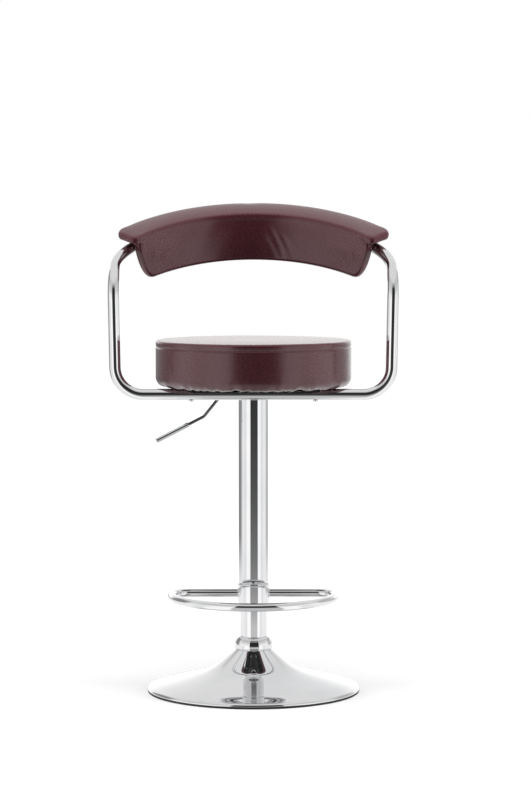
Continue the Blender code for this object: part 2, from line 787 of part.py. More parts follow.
def frame_half_path():
    """Right half of the loop, from the middle of the bar up and round to the back."""
    middle = Vector((0, frame_front, bar_height))
    foot = Vector((frame_foot_half_width, frame_front, bar_height))
    elbow = plane_point(arm_half_width, frame_front)
    side_x = arm_half_width - hoop_side_bend
    arm_end = plane_point(arm_half_width, hoop_side_centre)
    points = [middle] + rounded_corner(middle, foot, elbow, frame_bend, 7)
    points += rounded_corner(foot, elbow, arm_end, frame_bend, 6)
    side_steps, hoop_steps = 6, 8
    for step in range(side_steps + 1):
        turn = math.pi / 2 + (hoop_half_angle - math.pi / 2) * step / side_steps
        points.append(plane_point(side_x + hoop_side_bend * math.sin(turn),
                                  hoop_side_centre + hoop_side_bend * math.cos(turn)))
    for step in range(1, hoop_steps + 1):
        turn = hoop_half_angle * (1 - step / hoop_steps)
        points.append(plane_point(hoop_radius * math.sin(turn), hoop_centre + hoop_radius * math.cos(turn)))
    return points


def pad_screw_matrices():
    """Frames on the hoop's centre line whose Z axis is square to the pad's flange."""
    turn = Vector((0, 0, 1)).rotation_difference(plane_normal).to_matrix().to_4x4()
    angle_shares = (-0.90, -0.34, 0.34, 0.90)
    angles = [share * core_half_angle for share in angle_shares]
    places = [plane_point(hoop_radius * math.sin(angle), hoop_centre + hoop_radius * math.cos(angle))
              for angle in angles]
    return [Matrix.Translation(place) @ turn for place in places]


def arm_frame(parent):
    half = frame_half_path()
    path = half + mirrored(half)[-2:0:-1]
    wall = tube_mesh(path, frame_tube_radius, bent_tube_sides, closed=True)
    bore = tube_mesh(path, frame_tube_radius - tube_wall, bore_sides, closed=True)
    made = node("arm_frame", join_into(wall, bore, inside_out=True), chrome, parent,
                (0, frame_front, bar_height))
    reach = frame_tube_radius + overrun
    hole = rod(bolt_radius + gap, bar_height - reach, bar_height + reach)
    cutters = drills(hole, moved_to(frame_bolt_places()))
    for matrix in pad_screw_matrices():
        turned(rod(pad_screw_radius + gap, -reach, reach), screw_sides, cutters, matrix)
    boolean(made, cutters, "frame_holes")
    head_seat = bar_height - frame_tube_radius - gap
    fasteners("frame_bolt", bolt_outline(head_seat), moved_to(frame_bolt_places()), chrome, parent)


# Padded back

def band(stations, name, finish, parent):
    """Lofts an outline of (radius, height) points round the back, one outline for each angle."""
    bm = bmesh.new()
    rings = []
    for angle, outline in stations:
        verts = []
        for radius, height in outline:
            y = hoop_centre + radius * math.cos(angle)
            z = pad_plane_height + arm_slope * y + height
            verts.append(bm.verts.new((radius * math.sin(angle), y, z)))
        rings.append(verts)
    for near, far in zip(rings, rings[1:]):
        for index in range(len(near)):
            after = (index + 1) % len(near)
            bm.faces.new((near[index], near[after], far[after], far[index]))
    bm.faces.new(rings[0])
    bm.faces.new(rings[-1][::-1])
    bmesh.ops.remove_doubles(bm, verts=bm.verts, dist=weld_distance)
    bmesh.ops.recalc_face_normals(bm, faces=bm.faces)
    origin = (0, hoop_back, pad_plane_height + arm_slope * hoop_back)
    return node(name, bm, finish, parent, origin)


def corner_cut(distance, radius):
    """How much a rounded corner takes off an edge, at a distance from the end."""
    if distance >= radius:
        return 0.0
    return radius - math.sqrt(radius ** 2 - (radius - distance) ** 2)


def pad_outline(end_distance, panel, slotted=False):
    """Section of the pad: a flange over the tube and, inwards of its ends, a panel in front of it."""
    outer = pad_outer_radius - corner_cut(end_distance, pad_tip_corner)
    back = pad_inner_radius + pad_panel_depth
    round_edge = pad_flange_depth / 2
    foot = -pad_flange_depth
    if panel:
        foot = -pad_panel_height + corner_cut(end_distance - panel_setback, pad_panel_corner)
    points = [(pad_inner_radius - (pad_crown if panel else 0), (foot - pad_edge) / 2)]
    for turn in (math.radians(180), math.radians(135), math.radians(90)):
        points.append((pad_inner_radius + pad_edge * (1 + math.cos(turn)), pad_edge * (math.sin(turn) - 1)))
    for turn in (math.radians(90), math.radians(45), 0, math.radians(-45), math.radians(-90)):
        points.append((outer - round_edge * (1 - math.cos(turn)), round_edge * (math.sin(turn) - 1)))
    flange_end = pad_outer_radius - pad_tip_corner - pad_lip
    middle, half = pad_inner_radius + pad_panel_depth / 2, pad_panel_depth / 2
    panel_end = foot + pad_lip + half
    if slotted:
        roof = -pad_flange_depth + core_flange_depth
        wall = back - core_panel_depth
        points += [(flange_end, -pad_flange_depth), (flange_end, roof), (wall, roof),
                   (wall, panel_end), (back, panel_end)]
    else:
        points += [(flange_end, -pad_flange_depth)] * 2 + [(back, -pad_flange_depth)]
        points += [(back, panel_end if panel else -pad_flange_depth)] * 2
    for turn in (0, math.radians(-45), math.radians(-90), math.radians(-135), math.radians(180)):
        rounded = foot + half + half * math.sin(turn)
        points.append((middle + half * math.cos(turn), rounded if panel else -pad_flange_depth))
    return points


def pad_stations():
    tip_shares = (0, 0.08, 0.30, 0.65, 1)
    corner_shares = (0, 0.08, 0.25, 0.50, 0.75, 1)
    plain = [share * pad_tip_corner for share in tip_shares] + [panel_setback - gap]
    shaped = [panel_setback + share * pad_panel_corner for share in corner_shares] + [core_setback]
    end = [(distance, pad_outline(distance, False)) for distance in plain]
    end += [(distance, pad_outline(distance, True)) for distance in shaped]
    end = [(pad_half_angle - distance / pad_inner_radius, outline) for distance, outline in end]
    steps = 16
    inner_edge = pad_half_angle - (core_setback + gap) / pad_inner_radius
    run = [(inner_edge * (1 - 2 * step / steps), pad_outline(core_setback, True, True))
           for step in range(steps + 1)]
    return end + run + [(-angle, outline) for angle, outline in reversed(end)]


def core_stations():
    back = pad_inner_radius + pad_panel_depth
    flange_end = pad_outer_radius - pad_tip_corner - pad_lip - gap
    roof = -pad_flange_depth + core_flange_depth - gap
    floor = -pad_flange_depth + core_inset
    front = back - core_panel_depth + gap
    foot = -pad_panel_height + pad_lip + pad_panel_depth / 2 + gap
    outline = [(front, roof), (flange_end, roof), (flange_end, floor), (back - core_inset, floor),
               (back - core_inset, foot), (front, foot)]
    steps = 16
    return [(core_half_angle * (1 - 2 * step / steps), outline) for step in range(steps + 1)]


def padded_back(parent):
    band(pad_stations(), "backrest_pad", maroon_leather, parent)
    core = band(core_stations(), "backrest_core", plywood, parent)
    tilt = math.cos(math.atan(arm_slope))
    flange_foot = hoop_tube_drop * tilt
    tip = flange_foot + (core_flange_depth - 2 * gap) * tilt
    head_seat = -frame_tube_radius - gap
    head_foot = head_seat - pad_screw_head_height
    screw = [(0, head_foot), (pad_screw_head_radius, head_foot), (pad_screw_head_radius, head_seat),
             (pad_screw_radius, head_seat), (pad_screw_radius, tip), (0, tip)]
    matrices = pad_screw_matrices()
    fasteners("backrest_screw", screw, matrices, zinc_steel, parent)
    hole = rod(pad_screw_radius + gap, 0, tip + overrun)
    boolean(core, drills(hole, matrices), "core_holes")


def build():
    clear_scene()
    base = empty("base", (0, 0, 0))
    swivel = empty("swivel_axis", (0, 0, column_end_plate_height), base)
    carrier = empty("lift_axis", (0, 0, cylinder_foot), swivel)
    pivot = empty("lever_axis", (-lever_arm, 0, lever_height), carrier)
    valve = empty("valve_axis", (0, 0, button_top), carrier)
    for make in (base_cover, base_floor_parts, base_hub, neck_ring, column, foot_collar, foot_ring):
        make(base)
    piston_rod(swivel)
    for make in (gas_cylinder, cylinder_socket, cover_tube, lever_housing, lever_pin, mechanism_plate,
                 seat_board, seat_cushion, arm_frame, padded_back):
        make(carrier)
    lever(pivot)
    valve_button(valve)


build()
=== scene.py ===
"""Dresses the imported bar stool: fine chrome and leather pieces, a white studio and the camera.

Metres, in the frame of the CAD model: +Z up, the column's axis at X = Y = 0, the front faces -Y.
"""

from math import asin, atan2, ceil, cos, dist, hypot, pi, radians, sin, sqrt, tan

import bmesh
import bpy
import numpy as np
from mathutils import Matrix, Vector, noise


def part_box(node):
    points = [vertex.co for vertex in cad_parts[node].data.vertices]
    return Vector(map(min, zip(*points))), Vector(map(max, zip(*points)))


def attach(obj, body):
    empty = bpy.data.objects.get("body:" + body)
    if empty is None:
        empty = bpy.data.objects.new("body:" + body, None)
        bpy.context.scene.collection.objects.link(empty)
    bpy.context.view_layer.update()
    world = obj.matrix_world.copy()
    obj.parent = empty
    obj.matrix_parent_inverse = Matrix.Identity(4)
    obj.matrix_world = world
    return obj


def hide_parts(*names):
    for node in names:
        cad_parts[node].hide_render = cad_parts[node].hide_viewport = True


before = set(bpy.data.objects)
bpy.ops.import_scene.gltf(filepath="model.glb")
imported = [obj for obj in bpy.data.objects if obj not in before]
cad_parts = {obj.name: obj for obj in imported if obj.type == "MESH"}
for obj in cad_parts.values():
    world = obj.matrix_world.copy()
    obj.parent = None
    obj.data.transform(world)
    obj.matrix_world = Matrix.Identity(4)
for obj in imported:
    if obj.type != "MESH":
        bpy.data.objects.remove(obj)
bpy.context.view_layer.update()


def low(node):
    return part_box(node)[0]


def high(node):
    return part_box(node)[1]


# Sizes that the CAD source names, repeated where a box can't give them
gap = 0.0003
tube_wall = 0.0015
base_wall = 0.0016
edge_ring_width = 0.008
rim_height = 0.0045
neck_ring_overhang = 0.001
foot_tube_radius = 0.008
foot_ring_half_width = 0.156
foot_ring_corner = 0.036
cover_wall = 0.0013
lever_rod_radius = 0.003
lever_arm = 0.030
lever_inner_overhang = 0.004
lever_boss_radius = 0.0055
lever_drop_reach = 0.057
lever_knee_reach = 0.0955
lever_knee_drop = 0.0475
lever_tail = 0.0333
lever_tail_angle = radians(27.1)
lever_bend = 0.014
grip_radius = 0.005
grip_length = 0.070
seat_radius = 0.188
seat_crown = 0.002
seat_roll = 0.019
seam_drop = 0.012
board_margin = 0.026
bolt_radius = 0.003
bolt_head_radius = 0.0052
frame_tube_radius = 0.011
frame_front = -0.065
arm_half_width = 0.2655
upright_lean = 0.004
frame_bend = 0.053
arm_slope = 0.43
arm_length = 0.0513
hoop_flare = 0.0525
hoop_side_bend = 0.142
pad_tube_gap = 0.002
pad_overhang = 0.0165
pad_tip_angle = radians(7.6)
pad_panel_angle = radians(3.0)
pad_rise = 0.2645
pad_flange_depth = 0.021
pad_panel_depth = 0.0185
pad_panel_height = 0.0935
pad_panel_corner = 0.034
pad_edge = 0.007

# Sizes of the scene's own forms
neck_dome_height = 0.019
seat_corner = 0.0048         # the sewn edge is a little tighter than the cushion's own rounding
panel_spread = 0.0108        # the covered panel is this much longer at each end than its core
panel_end_run = 0.0450       # its ends slant and round off over this length
panel_nose = 0.0125          # their rounding, seen from above
lining_thickness = 0.0009
thread_radius = 0.00028
weld_radius = 0.0015
fine_edge = 0.0004           # roundings of cut and rolled edges
soft_edge = 0.0012
stitch_drop = 0.0032         # from the seat's seam down to its stitches

# Places that follow
column_radius = high("column_tube").x
neck_radius = high("neck_ring").x - neck_ring_overhang
base_radius = high("base_cover").x
neck_height = high("base_cover").z
foot_collar_radius = high("foot_ring_collar").x
foot_ring_height = (low("foot_ring_collar").z + high("foot_ring_collar").z) / 2
cover_radius = high("cover_tube").x
bar_height = low("arm_frame").z + frame_tube_radius
lever_height = (low("lever_pin").z + high("lever_pin").z) / 2
seat_underside = low("seat_cushion").z
seat_top = high("seat_cushion").z
board_radius = seat_radius - board_margin
hoop_radius = arm_half_width + hoop_flare
hoop_half_angle = asin((arm_half_width - hoop_side_bend) / (hoop_radius - hoop_side_bend))
hoop_side_centre = frame_front + arm_length
hoop_centre = hoop_side_centre - (hoop_radius - hoop_side_bend) * cos(hoop_half_angle)
hoop_tube_drop = (frame_tube_radius + gap) * hypot(1, arm_slope)
pad_inner_radius = hoop_radius - frame_tube_radius - pad_tube_gap - pad_panel_depth
pad_outer_radius = hoop_radius + frame_tube_radius + pad_overhang
pad_half_angle = hoop_half_angle + pad_tip_angle
pad_panel_half_angle = hoop_half_angle + pad_panel_angle
pad_plane_height = seat_top + pad_rise - arm_slope * (hoop_centre + pad_outer_radius)
tube_plane_height = pad_plane_height - pad_flange_depth - hoop_tube_drop
panel_start = (pad_half_angle - pad_panel_half_angle) * pad_inner_radius - panel_spread
panel_rear = pad_inner_radius + pad_panel_depth


# Materials

class Shader:
    """A material's node tree, with the few calls that the finishes need."""

    def __init__(self, name):
        self.material = bpy.data.materials.new(name)
        self.material.use_nodes = True
        self.tree = self.material.node_tree
        self.surface = self.tree.nodes["Principled BSDF"]
        self.place = self.node("ShaderNodeTexCoord").outputs["Object"]

    def node(self, kind, inputs=(), **settings):
        """A new node; an input is a constant or the output that it is linked to."""
        made = self.tree.nodes.new(kind)
        for key, value in settings.items():
            setattr(made, key, value)
        for key, value in dict(inputs).items():
            self.feed(made.inputs[key], value)
        return made

    def feed(self, socket, value):
        if isinstance(value, bpy.types.NodeSocket):
            self.tree.links.new(value, socket)
        else:
            socket.default_value = value

    def noise(self, scale, detail=2.0, roughness=0.5, place=None):
        inputs = {"Vector": place or self.place, "Scale": scale, "Detail": detail, "Roughness": roughness}
        return self.node("ShaderNodeTexNoise", inputs).outputs["Fac"]

    def cells(self, scale, feature="F1", place=None):
        inputs = {"Vector": place or self.place, "Scale": scale}
        return self.node("ShaderNodeTexVoronoi", inputs, feature=feature).outputs["Distance"]

    def ramp(self, value, low, high, start, end):
        inputs = {"Value": value, "From Min": low, "From Max": high, "To Min": start, "To Max": end}
        return self.node("ShaderNodeMapRange", inputs, interpolation_type="SMOOTHSTEP").outputs["Result"]

    def sweep(self, turn, low, high, start, end):
        """A ramp between two directions, in degrees."""
        return self.ramp(turn, radians(low), radians(high), start, end)

    def blend(self, share, first, second):
        made = self.node("ShaderNodeMix", {"Factor": share}, data_type="RGBA")
        sockets = [item for item in made.inputs if item.type == "RGBA"]
        for socket, colour in zip(sockets, (first, second)):
            self.feed(socket, (*colour, 1) if isinstance(colour, tuple) else colour)
        return [item for item in made.outputs if item.type == "RGBA"][0]

    def math(self, operation, *values):
        return self.node("ShaderNodeMath", enumerate(values), operation=operation).outputs["Value"]

    def product(self, *values):
        made = values[0]
        for value in values[1:]:
            made = self.math("MULTIPLY", made, value)
        return made

    def rest(self, share):
        return self.math("SUBTRACT", 1.0, share)

    def dimmed(self, light, mask, depth):
        """Light less its share under a mask."""
        return self.product(light, self.rest(self.product(mask, depth)))

    def bump(self, height, distance, strength=1.0, **under):
        inputs = {"Height": height, "Distance": distance, "Strength": strength, **under}
        return self.node("ShaderNodeBump", inputs).outputs["Normal"]

    def finish(self, colour, roughness=None, normal=None, **constants):
        for key, value in constants.items():
            self.feed(self.surface.inputs[key.replace("_", " ")], value)
        for key, output in (("Base Color", colour), ("Roughness", roughness), ("Normal", normal)):
            if output is not None:
                self.feed(self.surface.inputs[key], output)
        return self.material


def chrome_finish(name="studio_chrome", bright=(0.83, 0.83, 0.84), dull=(0.77, 0.775, 0.785)):
    """Polished plating with faint wipe marks."""
    shader = Shader(name)
    haze = shader.noise(9, 3)
    wipe = shader.noise(140, 4, 0.6)
    colour = shader.blend(shader.ramp(haze, 0.35, 0.68, 0, 1), bright, dull)
    roughness = shader.ramp(wipe, 0.35, 0.75, 0.025, 0.055)
    normal = shader.bump(shader.noise(26, 1), 0.00002)
    return shader.finish(colour, roughness, normal, Metallic=1.0)


def steel_finish(name, colour, dark, roughness):
    """Plain or zinc-plated steel with a brushed, slightly mottled skin."""
    shader = Shader(name)
    mottle = shader.noise(55, 5, 0.65)
    tone = shader.blend(shader.ramp(mottle, 0.3, 0.7, 0, 1), colour, dark)
    rough = shader.ramp(shader.noise(400, 2), 0.3, 0.7, roughness - 0.05, roughness + 0.08)
    normal = shader.bump(shader.noise(900, 2), 0.00003)
    return shader.finish(tone, rough, normal, Metallic=1.0)


def paint_finish(name, colour, light, roughness, grain=700, depth=0.00004):
    """Powder paint, rubber or nylon: a fine orange-peel skin."""
    shader = Shader(name)
    tone = shader.blend(shader.ramp(shader.noise(18, 4, 0.6), 0.3, 0.75, 0, 1), colour, light)
    rough = shader.ramp(shader.noise(160, 3), 0.3, 0.7, roughness - 0.06, roughness + 0.06)
    normal = shader.bump(shader.noise(grain, 2), depth)
    return shader.finish(tone, rough, normal)


def plywood_finish():
    """Birch plywood: long grain on the faces and thin plies on the edge."""
    shader = Shader("birch_plywood")
    stretch = shader.node("ShaderNodeMapping", {"Vector": shader.place, "Scale": (6, 90, 260)})
    grain = shader.noise(1.0, 6, 0.7, stretch.outputs["Vector"])
    tone = shader.blend(shader.ramp(grain, 0.3, 0.7, 0, 1), (0.52, 0.38, 0.23), (0.36, 0.24, 0.13))
    rough = shader.ramp(grain, 0.2, 0.8, 0.55, 0.75)
    return shader.finish(tone, rough, shader.bump(grain, 0.0001))


def leather_finish(name="wine_leather", depth=0.000018, level=0.78, coat=0.50):
    """Wine-coloured upholstery leather: pebbled grain, small pores, slow shifts of tone and gloss."""
    light, deep, valley = (0.063, 0.0142, 0.0202), (0.054, 0.0118, 0.0170), (0.043, 0.0086, 0.0124)
    shader = Shader(name)
    drift = shader.node("ShaderNodeTexNoise", {"Vector": shader.place, "Scale": 60}).outputs["Color"]
    warp = shader.node("ShaderNodeVectorMath", {0: drift, 1: (0.004, 0.004, 0.004), 2: shader.place},
                       operation="MULTIPLY_ADD")
    grain = shader.cells(620, "DISTANCE_TO_EDGE", warp.outputs["Vector"])
    pebble = shader.ramp(grain, 0.0, 0.22, 0, 1)
    pores = shader.ramp(shader.cells(1500), 0.0, 0.25, 0, 1)
    broad = shader.noise(7, 4, 0.55)
    fine = shader.noise(160, 3, 0.6)
    tone = shader.blend(shader.ramp(broad, 0.3, 0.72, 0, 1), light, deep)
    tone = shader.blend(pebble, valley, tone)
    rough = shader.ramp(fine, 0.3, 0.7, 0.25, 0.31)
    height = shader.math("ADD", shader.product(pebble, 0.75), shader.product(pores, 0.25))
    creases = shader.bump(shader.noise(34, 3, 0.5), 0.0004, 0.30)
    normal = shader.bump(height, depth, Normal=creases)
    return shader.finish(tone, rough, normal, Specular_IOR_Level=level,
                         Specular_Tint=(1.0, 0.72, 0.76, 1.0), Coat_Weight=coat, Coat_Roughness=0.19)


finishes = {
    "chrome": chrome_finish(),
    "bare_steel": steel_finish("plain_steel", (0.50, 0.50, 0.51), (0.38, 0.38, 0.39), 0.34),
    "zinc_steel": steel_finish("zinc_plate", (0.62, 0.62, 0.60), (0.50, 0.51, 0.52), 0.27),
    "black_paint": paint_finish("powder_black", (0.018, 0.018, 0.018), (0.030, 0.030, 0.031), 0.45),
    "black_rubber": paint_finish("rubber_black", (0.014, 0.014, 0.014), (0.028, 0.028, 0.028), 0.74,
                                 900, 0.00008),
    "white_nylon": paint_finish("nylon_white", (0.74, 0.73, 0.69), (0.66, 0.65, 0.61), 0.48),
    "plywood": plywood_finish(),
    "maroon_leather": leather_finish(),
}


# Mesh tools

def loft(rings, loop=False, ends=False):
    """A mesh of quads between equal rings of points; loop joins the last ring to the first."""
    rings = np.asarray(rings, float)
    count, size = rings.shape[:2]
    index = np.arange(count * size).reshape(count, size)
    near = index if loop else index[:-1]
    far = np.roll(index, -1, axis=0) if loop else index[1:]
    quads = np.stack([near, np.roll(near, -1, 1), np.roll(far, -1, 1), far], -1)
    faces = quads.reshape(-1, 4).tolist()
    if ends:
        faces += [index[0].tolist(), index[-1][::-1].tolist()]
    bm = bmesh.new()
    verts = [bm.verts.new(point) for point in rings.reshape(-1, 3)]
    for face in faces:
        bm.faces.new([verts[number] for number in face])
    return bm


def welded(bm, distance=0.000002):
    bmesh.ops.remove_doubles(bm, verts=bm.verts, dist=distance)
    bmesh.ops.dissolve_degenerate(bm, edges=bm.edges, dist=distance / 2)
    bmesh.ops.recalc_face_normals(bm, faces=bm.faces)
    return bm


def turned(outline, sides=128, matrix=None):
    """Spins a closed outline of (radius, height) points round the Z axis."""
    radius, height = np.asarray(outline, float).T
    turns = 2 * np.pi * np.arange(sides) / sides
    rings = [np.stack([radius * cos(turn), radius * sin(turn), height], -1) for turn in turns]
    bm = welded(loft(rings, loop=True))
    if matrix:
        bm.transform(matrix)
    return bm


def line(start, end, steps):
    return [(start[0] + (end[0] - start[0]) * share, start[1] + (end[1] - start[1]) * share)
            for share in np.linspace(0, 1, steps, endpoint=False)]


def bend(centre, radius, start, end, steps):
    return [(centre[0] + radius * cos(turn), centre[1] + radius * sin(turn))
            for turn in np.radians(np.linspace(start, end, steps))]


def corner_cut(distance, radius):
    if distance >= radius:
        return 0.0
    return radius - sqrt(max(radius ** 2 - (radius - distance) ** 2, 0))


def filleted(corners, steps=5):
    """Rounds the corners of a closed outline; each corner is (radius, height, fillet)."""
    flat = [Vector((x, z, 0)) for x, z, _ in corners]
    points = []
    for number, (x, z, fillet) in enumerate(corners):
        if fillet:
            after = flat[(number + 1) % len(flat)]
            points += [tuple(point.xy) for point in
                       rounded_corner(flat[number - 1], flat[number], after, fillet, steps)]
        else:
            points.append((x, z))
    return guarded(points)


def guarded(points, beside=0.0012):
    """Adds a point close to each end of a long side, so that smooth shading leaves the side flat."""
    made = []
    for number, point in enumerate(points):
        start, end = Vector(point), Vector(points[(number + 1) % len(points)])
        made.append(point)
        length = (end - start).length
        if length > beside * 5:
            made += [tuple(start.lerp(end, beside / length)), tuple(start.lerp(end, 1 - beside / length))]
    return made


def frames(points, closed):
    """Side vectors along a path that turn as little as possible."""
    points = np.asarray(points, float)
    if closed:
        along = np.roll(points, -1, 0) - np.roll(points, 1, 0)
    else:
        along = np.gradient(points, axis=0)
    along /= np.linalg.norm(along, axis=1)[:, None]
    side = np.cross(along[0], (0, 0, 1) if abs(along[0][2]) < 0.9 else (0, 1, 0))
    sides = []
    for direction in along:
        side = side - direction * side.dot(direction)
        side = side / np.linalg.norm(side)
        sides.append(side)
    sides = np.array(sides)
    ups = np.cross(along, sides)
    if closed:
        last = sides[-1] - along[0] * sides[-1].dot(along[0])
        twist = atan2(last.dot(ups[0]), last.dot(sides[0]))
        turn = -twist * np.arange(len(points)) / (len(points) - 1)
        sides, ups = (sides * np.cos(turn)[:, None] + ups * np.sin(turn)[:, None],
                      ups * np.cos(turn)[:, None] - sides * np.sin(turn)[:, None])
    return points, sides, ups


def swept(points, radii, sides, closed=False):
    """A round bar along a path; radii is one number or one for each point."""
    points, across, up = frames(points, closed)
    radii = np.broadcast_to(radii, len(points))
    turns = 2 * np.pi * np.arange(sides) / sides
    aside = across[:, None] * np.cos(turns)[:, None]
    above = up[:, None] * np.sin(turns)[:, None]
    rings = points[:, None] + radii[:, None, None] * (aside + above)
    bm = loft(rings, loop=closed, ends=not closed)
    bmesh.ops.recalc_face_normals(bm, faces=bm.faces)
    return bm


def stitch(points):
    return swept(points, thread_radius, 6)


def arc(centre, across, up, radius, start, end, steps):
    turns = [start + (end - start) * step / steps for step in range(steps + 1)]
    return [centre + radius * (cos(turn) * across + sin(turn) * up) for turn in turns]


def rounded_corner(before, corner, after, radius, steps):
    """The arc that rounds one corner of a path, from leg to leg."""
    back = (before - corner).normalized()
    ahead = (after - corner).normalized()
    half = back.angle(ahead) / 2
    centre = corner + (back + ahead).normalized() * radius / sin(half)
    first = corner + back * radius / tan(half)
    last = corner + ahead * radius / tan(half)
    across = (first - centre).normalized()
    up = (last - centre) - (last - centre).dot(across) * across
    return arc(centre, across, up.normalized(), radius, 0, pi - 2 * half, steps)


def evened(points, spacing):
    """The same open path with points at most one spacing apart."""
    made = [points[0]]
    for point in points[1:]:
        start = made[-1]
        steps = max(1, ceil((point - start).length / spacing))
        made += [start.lerp(point, step / steps) for step in range(1, steps + 1)]
    return made


def mirrored(points):
    return [Vector((-point.x, point.y, point.z)) for point in points]


def meshed(name, bm):
    mesh = bpy.data.meshes.new(name)
    bm.to_mesh(mesh)
    bm.free()
    return mesh


def merged(parts):
    """Several meshes in one, each a closed body."""
    whole = bmesh.new()
    for part in parts:
        mesh = meshed("part", part)
        whole.from_mesh(mesh)
        bpy.data.meshes.remove(mesh)
    return whole


def coordinates(mesh):
    values = np.zeros(len(mesh.vertices) * 3)
    mesh.vertices.foreach_get("co", values)
    return values.reshape(-1, 3)


def moved(made, places):
    made.data.vertices.foreach_set("co", np.asarray(places, float).ravel())
    made.data.update()


def piece(name, bm, body, slot, *nodes, sharp=40, finish=None):
    """One shown object, on its body, in place of the CAD nodes that it stands for."""
    mesh = meshed(name, bm)
    mesh.materials.append(finish or finishes[slot])
    mesh.shade_smooth()
    if sharp:
        mesh.set_sharp_from_angle(angle=radians(sharp))
    made = bpy.data.objects.new(name, mesh)
    bpy.context.scene.collection.objects.link(made)
    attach(made, body)
    if nodes:
        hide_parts(*nodes)
    return made


# Base

base_sides = 192


def trumpet():
    """The base cover's outer side, neck to rim: a cone, a bend to a flat skirt and a tight roll.

    The falls are the slopes, in degrees, at the radii above them."""
    radii = (neck_radius, 0.048, 0.060, 0.070, 0.080, 0.095, 0.130, 0.165, 0.185, base_radius - 0.0049)
    falls = (41.8, 39.5, 38.2, 38.0, 31.5, 16.4, 14.1, 14.9, 18.2, 16.5)
    reach = np.linspace(radii[0], radii[-1], 140)
    fall = np.interp(reach, radii, falls)
    for _ in range(30):
        fall[1:-1] = (fall[:-2] + 2 * fall[1:-1] + fall[2:]) / 4
    drops = np.tan(np.radians((fall[1:] + fall[:-1]) / 2)) * np.diff(reach)
    height = neck_height - np.concatenate([[0], np.cumsum(drops)])
    last = radians(fall[-1])
    roll = (height[-1] - rim_height) / cos(last)
    turns = np.linspace(last, pi / 2, 14)[1:]
    return np.concatenate([np.stack([reach, height], -1),
                           np.stack([reach[-1] + roll * (np.sin(turns) - sin(last)),
                                     height[-1] + roll * (np.cos(turns) - cos(last))], -1)])


def base_pieces():
    outer = trumpet()
    inner = outer - base_wall * 0.7                 # inward and down: square to the cone
    inner[0] = outer[0] - (base_wall, 0)
    inner[-1] = outer[-1] - (base_wall, 0)
    shell = np.concatenate([outer, inner[::-1]])
    piece("base_shell", turned(shell, base_sides), "base", "chrome", "base_cover")
    inside, top = base_radius - edge_ring_width, rim_height - gap
    ring = [(inside, 0, 0), (base_radius - fine_edge, 0, soft_edge), (base_radius, top, 0.0009),
            (inside, top, 0)]
    piece("base_rim", turned(filleted(ring), base_sides), "base", "black_rubber", "base_edge_ring")
    foot, top, outside = low("neck_ring").z, high("neck_ring").z, high("neck_ring").x
    inside = column_radius + gap
    start, shoulder = inside + soft_edge, top - neck_dome_height
    dome = [(inside, foot), (outside - 0.0008, foot), (outside, foot + 0.0010)]
    dome += [(start + (outside - start) * cos(turn), shoulder + neck_dome_height * sin(turn))
             for turn in np.linspace(0, pi / 2, 20)] + [(inside, top)]
    piece("neck_dome", turned(dome), "base", "chrome", "neck_ring")


def sleeve(name, node, inside, fillets, body="base"):
    """A straight tube in the place of its node; fillets go round from the foot of the bore."""
    foot, top, outside = low(node).z, high(node).z, high(node).x
    corners = (inside, foot), (outside, foot), (outside, top), (inside, top)
    outline = [(*corner, fillet) for corner, fillet in zip(corners, fillets)]
    piece(name, turned(filleted(outline)), body, "chrome", node)


def column_pieces():
    sleeve("column_pipe", "column_tube", column_radius - tube_wall, (0, 0, fine_edge, 0))
    sleeve("collar_sleeve", "foot_ring_collar", column_radius + gap,
           (fine_edge, soft_edge, soft_edge, fine_edge))
    sleeve("cover_pipe", "cover_tube", cover_radius - cover_wall, (0, 0.0006, fine_edge, 0), "seat")


def foot_ring_path():
    """From inside the collar's wall round the right half of the ring to its front."""
    inner_end = foot_collar_radius - 0.002
    across, front = Vector((1, 0, 0)), Vector((0, -1, 0))
    level = Vector((0, 0, foot_ring_height))
    corner = level + across * (foot_ring_half_width - foot_ring_corner) + front * foot_ring_corner
    middle = level + front * foot_ring_corner
    points = [level + across * inner_end]
    points += arc(corner, -front, across, foot_ring_corner, 0, pi / 2, 24)
    points += arc(middle, across, front, foot_ring_half_width, 0, pi / 2, 48)[1:]
    return points


def weld_bead(side):
    """A rippled bead round the foot ring where it meets the collar."""
    turns = np.linspace(0, 2 * np.pi, 48, endpoint=False)
    reach, ripple = foot_tube_radius + 0.0002, 0.0003
    drop = np.sqrt(foot_collar_radius ** 2 - (reach * np.cos(turns)) ** 2)
    ring = [Vector((side * x, reach * cos(turn), foot_ring_height + reach * sin(turn)))
            for x, turn in zip(drop, turns)]
    sizes = weld_radius + ripple * np.sin(turns * 11) * np.cos(turns * 4)
    return swept(ring, sizes, 12, closed=True)


def foot_ring_piece():
    half = evened(foot_ring_path(), 0.006)
    bar = swept(half + mirrored(half)[-2::-1], foot_tube_radius, 40)
    piece("foot_rest", merged([bar, weld_bead(-1), weld_bead(1)]), "base", "chrome", "foot_ring")


# Lever

